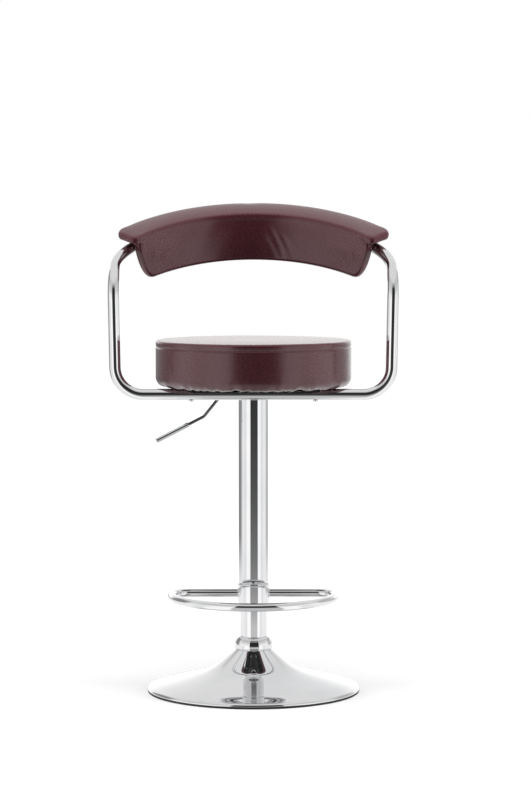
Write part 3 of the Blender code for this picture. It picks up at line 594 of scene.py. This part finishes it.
def lever_pieces():
    first = Vector((lever_inner_overhang, 0, lever_height))
    drop = Vector((-lever_drop_reach, 0, lever_height))
    knee = Vector((-lever_knee_reach, 0, lever_height - lever_knee_drop))
    along = Vector((-cos(lever_tail_angle), 0, -sin(lever_tail_angle)))
    last = knee + along * (lever_tail + grip_length)
    plug = 0.003                 # of the grip's end, where the rod stops short
    path = [first] + rounded_corner(first, drop, knee, lever_bend, 12)
    path += rounded_corner(drop, knee, last, lever_bend, 12)
    path.append(last - along * plug)
    rod = swept(evened(path, 0.004), lever_rod_radius, 28)
    half, hole, edge = 0.016, 0.0028, 0.0006
    boss = [(hole, -half, 0), (lever_boss_radius, -half, edge), (lever_boss_radius, half, edge),
            (hole, half, 0)]
    turn = Matrix.Translation((-lever_arm, 0, lever_height)) @ Matrix.Rotation(pi / 2, 4, "X")
    # the rod's darker chrome is painted shade: a dimmed copy of the chrome stands in for the shade under
    # the seat
    piece("lever_bar", merged([rod, turned(filleted(boss), 48, turn)]), "lever", "chrome", "lever_rod",
          finish=shaded_chrome)
    start = last - along * grip_length
    turn = Vector((0, 0, 1)).rotation_difference(along).to_matrix().to_4x4()
    inside, cap = lever_rod_radius + gap, grip_length - plug + gap
    grip = [(inside, 0, 0), (grip_radius, 0, 0.0009), (grip_radius, grip_length, 0.0016),
            (0, grip_length, 0), (0, cap, 0), (inside, cap, 0)]
    piece("lever_handle", turned(filleted(grip), 64, Matrix.Translation(start) @ turn), "lever", "chrome",
          "lever_grip")


# Arm frame

def plane_point(x, y):
    return Vector((x, y, tube_plane_height + arm_slope * y))


def arm_frame_piece():
    middle = Vector((0, frame_front, bar_height))
    foot = Vector((arm_half_width - upright_lean, frame_front, bar_height))
    elbow = plane_point(arm_half_width, frame_front)
    side_x = arm_half_width - hoop_side_bend
    arm_end = plane_point(arm_half_width, hoop_side_centre)
    points = [middle] + rounded_corner(middle, foot, elbow, frame_bend, 28)
    points += rounded_corner(foot, elbow, arm_end, frame_bend, 24)
    points += [plane_point(side_x + hoop_side_bend * sin(turn),
                           hoop_side_centre + hoop_side_bend * cos(turn))
               for turn in np.linspace(pi / 2, hoop_half_angle, 25)]
    points += [plane_point(hoop_radius * sin(turn), hoop_centre + hoop_radius * cos(turn))
               for turn in np.linspace(hoop_half_angle, 0, 41)[1:]]
    half = evened(points, 0.008)
    loop = half + mirrored(half)[-2:0:-1]
    piece("arm_hoop", swept(loop, frame_tube_radius, 48, closed=True), "seat", "chrome", "arm_frame")


def bolt_pieces():
    """Button-head bolts with a socket in the head, under the bar."""
    socket, socket_depth, flat = 0.0021, 0.0016, 0.0032
    seat = bar_height - frame_tube_radius - gap
    for number in (1, 2):
        name = f"frame_bolt_{number}"
        foot, top = low(name), high(name)
        centre = (foot + top) / 2
        floor = foot.z + socket_depth
        outline = [(0, floor), (socket, floor), (socket, foot.z), (flat, foot.z)]
        outline += [(flat + (bolt_head_radius - flat) * sin(turn),
                     seat - (seat - foot.z) * cos(turn) * 0.96)
                    for turn in np.linspace(0.2, pi / 2, 8)]
        outline += [(bolt_head_radius, seat), (bolt_radius, seat), (bolt_radius, top.z), (0, top.z)]
        bolt = turned(outline, 48, Matrix.Translation((centre.x, centre.y, 0)))
        piece(f"hoop_bolt_{number}", bolt, "seat", "chrome", name)


# Soft pieces

def smoothstep(value, start, end):
    share = np.clip((value - start) / (end - start), 0, 1)
    return share * share * (3 - 2 * share)


def wander(points, scale, seed):
    """Smooth noise between about -1 and 1 at each point."""
    shift = Vector((seed, seed * 1.7, seed * 0.3))
    return np.array([noise.noise(Vector(point) * scale + shift) for point in points])


def settled(mesh, move, passes=14):
    """Evens out a field of moves over neighbouring points, so that only the broad swelling is left."""
    ends = np.zeros(len(mesh.edges) * 2, int)
    mesh.edges.foreach_get("vertices", ends)
    ends = ends.reshape(-1, 2)
    count = np.bincount(ends.ravel(), minlength=len(move))[:, None]
    for _ in range(passes):
        near = np.zeros_like(move)
        np.add.at(near, ends[:, 0], move[ends[:, 1]])
        np.add.at(near, ends[:, 1], move[ends[:, 0]])
        move = (move + near / count) / 2
    return move


def inflated(made, held, cap, pressure=1.6, frames_run=20):
    before = coordinates(made.data)
    group = made.vertex_groups.new(name="held")
    for level in np.unique(held):
        group.add(np.nonzero(held == level)[0].tolist(), float(level), "REPLACE")
    cloth = made.modifiers.new("cloth", "CLOTH")
    for key, value in (("quality", 6), ("mass", 0.25), ("tension_stiffness", 22),
                       ("compression_stiffness", 22), ("shear_stiffness", 10), ("bending_stiffness", 1.2),
                       ("use_pressure", True), ("uniform_pressure_force", pressure),
                       ("vertex_group_mass", "held")):
        setattr(cloth.settings, key, value)
    cloth.settings.effector_weights.gravity = 0
    cloth.collision_settings.use_collision = False
    cloth.point_cache.frame_start = 1
    cloth.point_cache.frame_end = frames_run
    scene = bpy.context.scene
    for number in range(1, frames_run + 1):
        scene.frame_set(number)
    blown = made.evaluated_get(bpy.context.evaluated_depsgraph_get())
    after = coordinates(blown.to_mesh())
    blown.to_mesh_clear()
    made.modifiers.remove(cloth)
    made.vertex_groups.remove(group)
    scene.frame_set(1)
    move = settled(made.data, after - before)
    length = np.linalg.norm(move, axis=1)
    move *= (cap * np.tanh(length / cap) / np.maximum(length, 0.000001))[:, None]
    return before + move


def seat_outline():
    """Half section of the cushion: well, underside, side and top; and the height of its seam."""
    well = board_radius + gap
    recess = high("seat_board").z + 0.0018       # the well's ceiling, clear of the board
    seam = seat_top - seat_crown - seam_drop
    outline = [(0, recess), (well, recess), (well, seat_underside)]
    outline += bend((seat_radius - seat_roll, seat_underside + seat_roll), seat_roll, -90, -4, 18)
    outline += [(seat_radius, height)
                for height in np.linspace(seat_underside + seat_roll + 0.003, seam - stitch_drop, 16)]
    outline += [(seat_radius - sink, seam + rise) for rise, sink in (
        (-0.0020, 0.0003), (-0.0010, 0.0009), (0, 0.0016), (0.0010, 0.0009), (0.0020, 0.0003))]
    rim, edge = seat_radius - seat_corner, seat_top - seat_crown
    outline += bend((rim, edge - seat_corner), seat_corner, -6, 90, 12)
    outline += [(rim * share, seat_top - seat_crown * share ** 4) for share in np.linspace(0.96, 0, 26)]
    return np.array(outline), seam


def seat_hold(places, reach, inside, seam):
    """Weights that keep the underside, the well, the seam and the sewn edge in place."""
    height = places[:, 2]
    under = smoothstep(height, seat_underside + 0.016, seat_underside + 0.001)
    at_seam = np.exp(-((height - seam) / 0.0018) ** 2) * (reach > seat_radius - 0.004)
    at_edge = smoothstep(height, seat_top - 0.008, seat_top - 0.004)
    at_edge *= smoothstep(reach, seat_radius - 0.040, seat_radius - 0.012)
    held = np.max([under, inside * 1.0, at_seam, at_edge], axis=0)
    return np.round(np.clip(held, 0, 1), 2)


def seat_folds(places, reach, inside):
    """Pleats round the underside, the pull above them, and slow waves in the side and the top."""
    pleat_height, pleat_pull = 0.0030, 0.0006
    turn = np.arctan2(places[:, 1], places[:, 0])
    ring = np.stack([np.cos(turn), np.sin(turn), np.zeros(len(turn))], -1)
    pleats = 0.42 + 0.8 * wander(ring, 15.0, 2) + 0.32 * np.sin(turn * 43 + 16 * wander(ring, 3.1, 7))
    pleats *= 0.75 + 0.7 * wander(ring, 4.3, 5)
    pleats = np.clip(pleats, 0, 1)
    tuck = smoothstep(places[:, 2], seat_underside + 0.017, seat_underside + 0.0005)
    tuck *= (reach > board_radius + 0.001) & ~inside
    places[:, 2] += pleat_height * pleats * tuck
    pull = pleat_pull * pleats * smoothstep(places[:, 2], seat_underside + 0.030, seat_underside + 0.008)
    pull *= (reach > seat_radius - 0.012)
    places[:, :2] *= (1 - pull / np.maximum(reach, 0.01))[:, None]
    soft = 0.00025 * wander(places, 9.0, 9) + 0.00010 * wander(places, 21.0, 4)
    side = (reach > seat_radius - 0.003) & (places[:, 2] > seat_underside + 0.02)
    places[:, :2] *= (1 + soft * side / np.maximum(reach, 0.01))[:, None]
    top = smoothstep(places[:, 2], seat_top - 0.006, seat_top - 0.002)
    places[:, 2] += 0.0003 * top * wander(places, 7.0, 12)


def seat_stitches(seam, count=236, length=0.0034, sink=0.0006, points=5):
    """A row of short stitches in the side band, below the seam."""
    stitches = []
    for number in range(count):
        middle = 2 * pi * number / count
        path = []
        for share in np.linspace(0, 1, points):
            angle = middle + (share - 0.5) * length / seat_radius
            radius = seat_radius - sink * (1 - sin(pi * share))
            path.append(Vector((radius * cos(angle), radius * sin(angle), seam - stitch_drop)))
        stitches.append(stitch(path))
    piece("seat_stitching", merged(stitches), "seat", "maroon_leather", sharp=0, finish=thread)


def seat_piece():
    outline, seam = seat_outline()
    made = piece("seat_pad", turned(outline, 240), "seat", "maroon_leather", "seat_cushion", sharp=0)
    places = coordinates(made.data)
    reach = np.hypot(places[:, 0], places[:, 1])
    inside = (places[:, 2] > seat_underside + 0.004) & (places[:, 2] < seat_underside + 0.03)
    inside &= reach < board_radius + 0.002
    after = inflated(made, seat_hold(places, reach, inside, seam), cap=0.0016)
    seat_folds(after, reach, inside)
    moved(made, after)
    seat_stitches(seam)


def seat_underside_pieces():
    """The leather's turned-in edge, gathered and stapled to the board, and the black cloth over it."""
    sides, rows, cling, gather_depth = 360, 7, 0.00002, 0.0010
    turns = 2 * np.pi * np.arange(sides) / sides
    circle = np.stack([np.cos(turns), np.sin(turns), np.zeros(sides)], -1)
    start = seat_radius - seat_roll - 0.001
    edge = board_radius - 0.016 + 0.0035 * wander(circle, 6.0, 21) + 0.0012 * wander(circle, 23.0, 22)
    ripple = 0.5 + 0.8 * wander(circle, 11.0, 23) + 0.4 * np.sin(turns * 61 + 3 * wander(circle, 3.0, 24))
    ripple = np.clip(ripple, 0, 1)
    rings = []
    for thickness in (0, 0.00014):
        for row in range(rows):
            share = 1 - row / (rows - 1) if thickness else row / (rows - 1)
            radius = start * (1 - share) + edge * share
            near_bar = np.abs(radius * np.sin(turns) - frame_front) < frame_tube_radius + 0.010
            gather = gather_depth * ripple * sin(pi * min(share * 1.2, 1))
            height = seat_underside - 0.00009 - np.where(near_bar, cling, gather + cling) - thickness
            rings.append(np.stack([radius * np.cos(turns), radius * np.sin(turns), height], -1))
    hem = welded(loft(np.swapaxes(np.array(rings), 0, 1), loop=True))
    piece("seat_hem", hem, "seat", "maroon_leather", sharp=0)
    hole, disc, top = 0.020, board_radius - 0.004, seat_underside - 0.00001
    foot = top - 0.00006
    cloth = turned(filleted([(hole, foot, 0), (disc, foot, 0), (disc, top, 0), (hole, top, 0)]), 96)
    piece("seat_dust_cloth", cloth, "seat", "black_paint", finish=dust_cloth, sharp=60)


def pad_section(distance):
    """Section of the padded back, (radius, height), at a distance from the flange's end."""
    tip_roll, tip_run, thinning, plan_corner = 0.0068, 0.034, 0.0060, 0.019
    shrink = corner_cut(distance, tip_roll) * 0.98
    near_tip = max(1 - distance / tip_run, 0)
    thickness = pad_flange_depth - thinning * near_tip * near_tip * (3 - 2 * near_tip)
    inner = pad_inner_radius + corner_cut(distance, plan_corner)
    outer = pad_outer_radius - corner_cut(distance, plan_corner + 0.003)
    top, under = -shrink, shrink - thickness
    middle_height, half_flange = (top + under) / 2, (top - under) / 2
    inward = distance - panel_start
    edge = min(pad_edge, half_flange * 0.9)
    if inward <= 0:
        front, rear, foot, half = inner + edge * 0.3, panel_rear, under, 0.0
    else:
        front = pad_inner_radius + corner_cut(inward, panel_nose)
        rear = panel_rear - corner_cut(inward, 0.0050)
        half = (rear - front) / 2
        slant = max(1 - inward / panel_end_run, 0) ** 2.75
        foot = min(-pad_panel_height + (pad_panel_height - pad_flange_depth) * slant, under)
    middle = (front + rear) / 2
    start = min(foot + half, under)
    points = line((front, start), (front, under), 22)
    points += line((front, under), (inner, under + edge * 0.4), 4)
    points += line((inner, under + edge * 0.4), (inner, top - edge), 4)
    points += bend((inner + edge, top - edge), edge, 180, 90, 9)[:-1]
    points += line((inner + edge, top), (outer - half_flange, top), 16)
    points += bend((outer - half_flange, middle_height), half_flange, 90, -90, 15)[:-1]
    points += line((outer - half_flange, under), (rear, under), 14)
    points += line((rear, under), (rear, start), 18)
    points += bend((middle, start), half, 0, -180, 13)[:-1]
    return points


def pad_point(radius, height, angle):
    y = hoop_centre + radius * cos(angle)
    return (radius * sin(angle), y, pad_plane_height + arm_slope * y + height)


def pad_rings(steps=120):
    """The back's sections from one end to the other, closer together at its ends."""
    near_end = list(panel_nose * (1 - np.cos(np.linspace(0.02, pi / 2, 12))))
    near_end = [value for value in near_end if value < panel_start - 0.0008] + [panel_start - 0.0003]
    corner = panel_start + panel_end_run * (1 - np.cos(np.linspace(0.0, pi / 2, 26)))
    distances = near_end + [panel_start + 0.0001] + list(corner[1:])
    ends = [(pad_half_angle - value / pad_inner_radius, pad_section(value)) for value in distances]
    inner_angle, section = ends[-1]
    stations = ends + [(inner_angle * (1 - 2 * step / steps), section) for step in range(1, steps)]
    stations += [(-angle, section) for angle, section in reversed(ends)]
    return [[pad_point(radius, height, angle) for radius, height in section] for angle, section in stations]


def panel_creases(angle, height):
    """Four slanting creases right of the middle; each is a valley with a softer swell beside it.

    A row is the crease's upper angle and height, its lower angle, depth and width."""
    crease = np.zeros(len(angle))
    for top_angle, top_height, foot_angle, depth, width in (
            (0.5, -0.022, 9.0, 0.00030, 0.0060), (5.6, -0.022, 12.0, 0.00048, 0.0055),
            (9.6, -0.030, 16.0, 0.00042, 0.0055), (14.6, -0.056, 19.0, 0.00022, 0.0055)):
        foot_angle, top_angle = radians(foot_angle), radians(top_angle)
        share = (height - top_height) / (-pad_panel_height + 0.002 - top_height)
        bowed = share + 0.10 * np.sin(np.clip(share, 0, 1) * pi)
        centre = top_angle + (foot_angle - top_angle) * bowed
        offset = (angle - centre) * pad_inner_radius
        fade = smoothstep(share, -0.12, 0.35) * smoothstep(share, 1.12, 0.80)
        crease -= depth * fade * np.exp(-(offset / width) ** 2)
        crease += depth * 0.7 * fade * np.exp(-((offset - width * 2.1) / (width * 1.5)) ** 2)
    return crease


def back_piece():
    made = piece("back_pad", welded(loft(pad_rings(), ends=True)), "seat", "maroon_leather", "backrest_pad",
                 sharp=0, finish=back_leather)
    places = coordinates(made.data)
    radius = np.hypot(places[:, 0], places[:, 1] - hoop_centre)
    height = places[:, 2] - pad_plane_height - arm_slope * places[:, 1]
    angle = np.arctan2(places[:, 0], places[:, 1] - hoop_centre)
    rear = smoothstep(radius, panel_rear - 0.006, panel_rear - 0.001) * (height < -0.012)
    under = (height < -pad_flange_depth + 0.002) & (radius > panel_rear - 0.002)
    held = np.round(np.clip(np.maximum(rear, under * 1.0), 0, 1), 2)
    after = inflated(made, held, cap=0.0022)
    front = smoothstep(-radius, -pad_inner_radius - 0.006, -pad_inner_radius + 0.001)
    front *= smoothstep(-height, 0.004, 0.014)
    lean_depth, hollow_depth, hollow_width = 0.0016, 0.0028, 0.060
    drape = 0.00022 * np.sin(angle * 13 + height * 40 + 0.7) + 0.00012 * np.sin(angle * 31 - height * 70)
    lean = lean_depth * smoothstep(height, -0.046, -0.010)
    lean *= smoothstep(-radius, -pad_inner_radius - 0.004, -pad_inner_radius)
    hollow = hollow_depth * np.exp(-(angle * pad_inner_radius / hollow_width) ** 2)
    shift = lean + (hollow - panel_creases(angle, height) - drape) * front
    direction = np.stack([np.sin(angle), np.cos(angle), np.zeros(len(angle))], -1)
    after += direction * shift[:, None]
    moved(made, after)
    lining_piece()


def lining_piece():
    """The leather sewn over the board at the rear, with a row of stitches inside its edge."""
    half = panel_rear * (pad_panel_half_angle - (pad_panel_corner + 0.006) / pad_inner_radius)
    upper, lower, corner, inset = -pad_flange_depth - 0.004, -pad_panel_height + 0.013, 0.016, 0.0045
    face, bed, stitch_bow = lining_thickness * 1.1, -0.0003, 0.0004
    outline = []
    for x, z, start in ((half - corner, upper - corner, 90), (-half + corner, upper - corner, 180),
                        (-half + corner, lower + corner, 270), (half - corner, lower + corner, 360)):
        outline += bend((x, z), corner, start - 90, start, 9)
    dense = []
    for number, point in enumerate(outline):
        after = outline[(number + 1) % len(outline)]
        dense += line(point, after, max(1, int(dist(point, after) / 0.006)))

    def shrunk(wide, tall, lift):
        middle = (upper + lower) / 2
        return [pad_point(panel_rear + lift, middle + (height - middle) * tall, along * wide / panel_rear)
                for along, height in dense]

    layers = [(share, bed) for share in (0.02, 0.3, 0.6, 0.90)]
    layers += [(0.985, 0.0), (1.0, 0.0002), (1.0, lining_thickness * 0.7), (0.992, lining_thickness)]
    layers += [(share, face) for share in (0.90, 0.6, 0.3, 0.02)]
    rings = []
    for share, lift in layers:
        at_edge = share > 0.9    # there the shares shrink the outline by a like margin all round
        wide = 1 - (1 - share) * (0.35 if at_edge else 1)
        tall = 1 - (1 - share) * 2.4 if at_edge else share
        rings.append(shrunk(wide, tall, bed + lift))
    piece("back_lining", welded(loft(rings, ends=True)), "seat", "maroon_leather", "backrest_core",
          sharp=60)
    inside = shrunk(1 - inset / half, 1 - inset / ((upper - lower) / 2), face)
    path = [Vector(point) for point in inside]
    stitches = []
    for number, start in enumerate(path):
        end = path[(number + 1) % len(path)]
        if (end - start).length < 0.002:
            continue
        outward = Vector((start.x, start.y - hoop_centre, 0)).normalized()
        for share in (0.06, 0.56):     # two stitches to a step, with gaps between them
            first, last = start.lerp(end, share), start.lerp(end, share + 0.38)
            middle = (first + last) / 2 + outward * stitch_bow
            stitches.append(stitch([first, first.lerp(middle, 0.6), middle, last.lerp(middle, 0.6), last]))
    piece("back_stitching", merged(stitches), "seat", "maroon_leather", sharp=0, finish=thread)


# Studio

def front_sector(shader, x, y):
    """1 towards the camera and 0 elsewhere, and the angle from the front, from a direction's X and Y."""
    middle, half_inner, half_outer = 4.5, 26.5, 31
    turn = shader.math("ARCTAN2", x, shader.product(y, -1.0))
    aside = shader.math("ABSOLUTE", shader.math("SUBTRACT", turn, radians(middle)))
    return shader.sweep(aside, half_inner, half_outer, 1, 0), shader.math("ABSOLUTE", turn)


def low_ring(shader, turn, x, share=1.0):
    """How bright gloss sees the low part of the room: brightest beside the camera, dim behind."""
    beside = shader.product(shader.sweep(turn, 50, 64, 1.16, 0.90), shader.sweep(turn, 68, 84, 1.0, 1.12))
    left = shader.math("LESS_THAN", x, 0.0)
    dim_left = shader.sweep(turn, 86, 122, 0, 0.72)
    dim_right = shader.product(shader.sweep(turn, 102, 126, 0, 0.54), shader.sweep(turn, 134, 160, 1, 0))
    dim = shader.math("ADD", shader.product(left, dim_left), shader.product(shader.rest(left), dim_right))
    return shader.dimmed(beside, dim, share)


def floor_piece(scene):
    """A white floor; in gloss it fades away on the camera's side, as a lit sweep does."""
    bm = bmesh.new()
    bmesh.ops.create_grid(bm, x_segments=8, y_segments=8, size=9.0)
    mesh = meshed("studio_floor", bm)
    floor = bpy.data.objects.new("studio_floor", mesh)
    scene.collection.objects.link(floor)
    shader = Shader("studio_floor")
    tone = shader.blend(shader.noise(3, 2), (0.46, 0.46, 0.46), (0.44, 0.44, 0.44))
    shader.finish(tone, Roughness=0.9, Specular_IOR_Level=0.0)
    paths = shader.node("ShaderNodeLightPath")
    split = shader.node("ShaderNodeSeparateXYZ", {"Vector": shader.place})
    x, y = (split.outputs[key] for key in "XY")
    front, turn = front_sector(shader, x, y)
    reach = shader.math("SQRT", shader.math("ADD", shader.product(x, x), shader.product(y, y)))
    fade = shader.math("MINIMUM", shader.product(shader.math("POWER", reach, -1.2), 0.50), 0.62)
    around = low_ring(shader, turn, x, shader.ramp(reach, 1.3, 2.6, 0, 1))
    pattern = shader.math("ADD", shader.product(shader.rest(front), around), shader.product(fade, front))
    white = shader.product(paths.outputs["Is Camera Ray"], shader.ramp(reach, 0.3, 3.0, 0.46, 0.95))
    seen, gloss = (shader.node("ShaderNodeEmission", {"Strength": strength}).outputs["Emission"]
                   for strength in (white, pattern))
    both = shader.node("ShaderNodeAddShader", {0: shader.surface.outputs["BSDF"], 1: seen})
    mixed = shader.node("ShaderNodeMixShader", {
        "Fac": paths.outputs["Is Glossy Ray"], 1: both.outputs["Shader"], 2: gloss})
    output = [item for item in shader.tree.nodes if item.type == "OUTPUT_MATERIAL"][0]
    shader.feed(output.inputs["Surface"], mixed.outputs["Shader"])
    mesh.materials.append(shader.material)


class WorldShader(Shader):
    """The world's node tree, with the same calls."""

    def __init__(self, scene):
        world = bpy.data.worlds.new("studio")
        scene.world = world
        world.use_nodes = True
        self.tree = world.node_tree
        self.surface = self.tree.nodes["Background"]
        self.place = self.node("ShaderNodeTexCoord").outputs["Generated"]


def world_light(scene):
    """A white room, dark behind the camera, with greyer flats at the rear sides and a grey canopy.

    Gloss sees the room; diffuse light from it is even and low, and the lamps give the rest."""
    shader = WorldShader(scene)
    split = shader.node("ShaderNodeSeparateXYZ", {"Vector": shader.place})
    x, y, z = (split.outputs[key] for key in "XYZ")
    front, turn = front_sector(shader, x, y)
    window = shader.product(shader.ramp(z, -0.60, -0.30, 0, 1), shader.ramp(z, 0.50, 0.86, 1, 0))
    glow = shader.product(shader.sweep(turn, 120, 150, 0, 0.28), shader.ramp(z, 0.10, 0.42, 1, 0))
    sky = shader.math("ADD", shader.ramp(z, 0.10, 0.65, 1.02, 0.82), glow)
    below = shader.math("LESS_THAN", z, 0.0)
    above = shader.rest(below)
    ring = shader.math("ADD", shader.product(below, low_ring(shader, turn, x)), above)
    light = shader.dimmed(shader.product(sky, ring), shader.product(front, window), 0.97)
    canopy = shader.product(shader.ramp(z, 0.08, 0.34, 0, 1), shader.ramp(z, 0.70, 0.90, 1, 0),
                            shader.sweep(turn, 80, 105, 1, 0))
    light = shader.dimmed(light, canopy, 0.22)
    flats = shader.product(shader.sweep(turn, 94, 108, 0, 1), shader.sweep(turn, 136, 152, 1, 0),
                           shader.ramp(z, 0.45, 0.70, 1, 0), above)
    left = shader.math("LESS_THAN", x, 0.0)
    depth = shader.math("ADD", shader.product(left, 0.27), 0.43)
    light = shader.dimmed(light, flats, depth)
    paths = shader.node("ShaderNodeLightPath")
    gloss = paths.outputs["Is Glossy Ray"]
    light = shader.math("ADD", shader.product(light, gloss), shader.product(shader.rest(gloss), 0.30))
    light = shader.math("MAXIMUM", light, paths.outputs["Is Camera Ray"])
    shader.feed(shader.surface.inputs["Color"], (1, 1, 1, 1))
    shader.feed(shader.surface.inputs["Strength"], light)


def placed(scene, data, place, turn):
    holder = bpy.data.objects.new(data.name, data)
    holder.location, holder.rotation_euler = place, turn
    scene.collection.objects.link(holder)
    return holder


def studio():
    scene = bpy.context.scene
    scene.view_settings.view_transform = "Standard"
    floor_piece(scene)
    world_light(scene)
    for name, place, aim, width, depth, power in (
            ("key_top", (0.0, -0.2, 3.2), (0, 0, 0.5), 2.0, 2.0, 84),
            ("side_left", (-2.8, -0.7, 1.2), (0, 0, 0.7), 1.2, 1.6, 62),
            ("side_right", (2.8, -0.7, 1.2), (0, 0, 0.7), 1.2, 1.6, 68)):
        lamp = bpy.data.lights.new(name, "AREA")
        lamp.shape = "RECTANGLE"
        lamp.size, lamp.size_y, lamp.energy = width, depth, power
        turn = (Vector(aim) - Vector(place)).to_track_quat("-Z", "Y").to_euler()
        placed(scene, lamp, place, turn).visible_glossy = False
    place, tilt = (0.0231, -5.19, 0.934), radians(-4.08)     # fitted to the photograph
    camera = bpy.data.cameras.new("camera")
    camera.lens = 121.7
    camera.sensor_width = 36
    camera.clip_end = 60
    scene.camera = placed(scene, camera, place, (pi / 2 + tilt, 0, 0))


def dress_cad_nodes():
    """Gives each CAD node its procedural finish, by the slot that the record names."""
    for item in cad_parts.values():
        for slot in item.material_slots:
            slot.material = finishes.get(slot.material.name.split(".")[0], finishes["black_paint"])
        if item.hide_render:
            continue
        edge = item.modifiers.new("edge", "BEVEL")
        edge.width, edge.segments = 0.0003, 2
        edge.limit_method = "ANGLE"
        edge.angle_limit = radians(50)
        edge.use_clamp_overlap = True


back_leather = leather_finish("wine_leather_back", level=0.66, coat=0.42)
# a dimmed copy of the chrome for the lever rod: painted shade from the seat above it
shaded_chrome = chrome_finish("shaded_chrome", (0.27, 0.27, 0.28), (0.20, 0.20, 0.21))
dust_cloth = paint_finish("felted_cloth", (0.012, 0.012, 0.012), (0.030, 0.030, 0.030), 0.9, 1400, 0.0002)
thread = paint_finish("sewing_thread", (0.045, 0.010, 0.014), (0.07, 0.018, 0.024), 0.6, 2500, 0.00005)

base_pieces()
column_pieces()
foot_ring_piece()
lever_pieces()
arm_frame_piece()
bolt_pieces()
seat_piece()
seat_underside_pieces()
back_piece()
dress_cad_nodes()
studio()
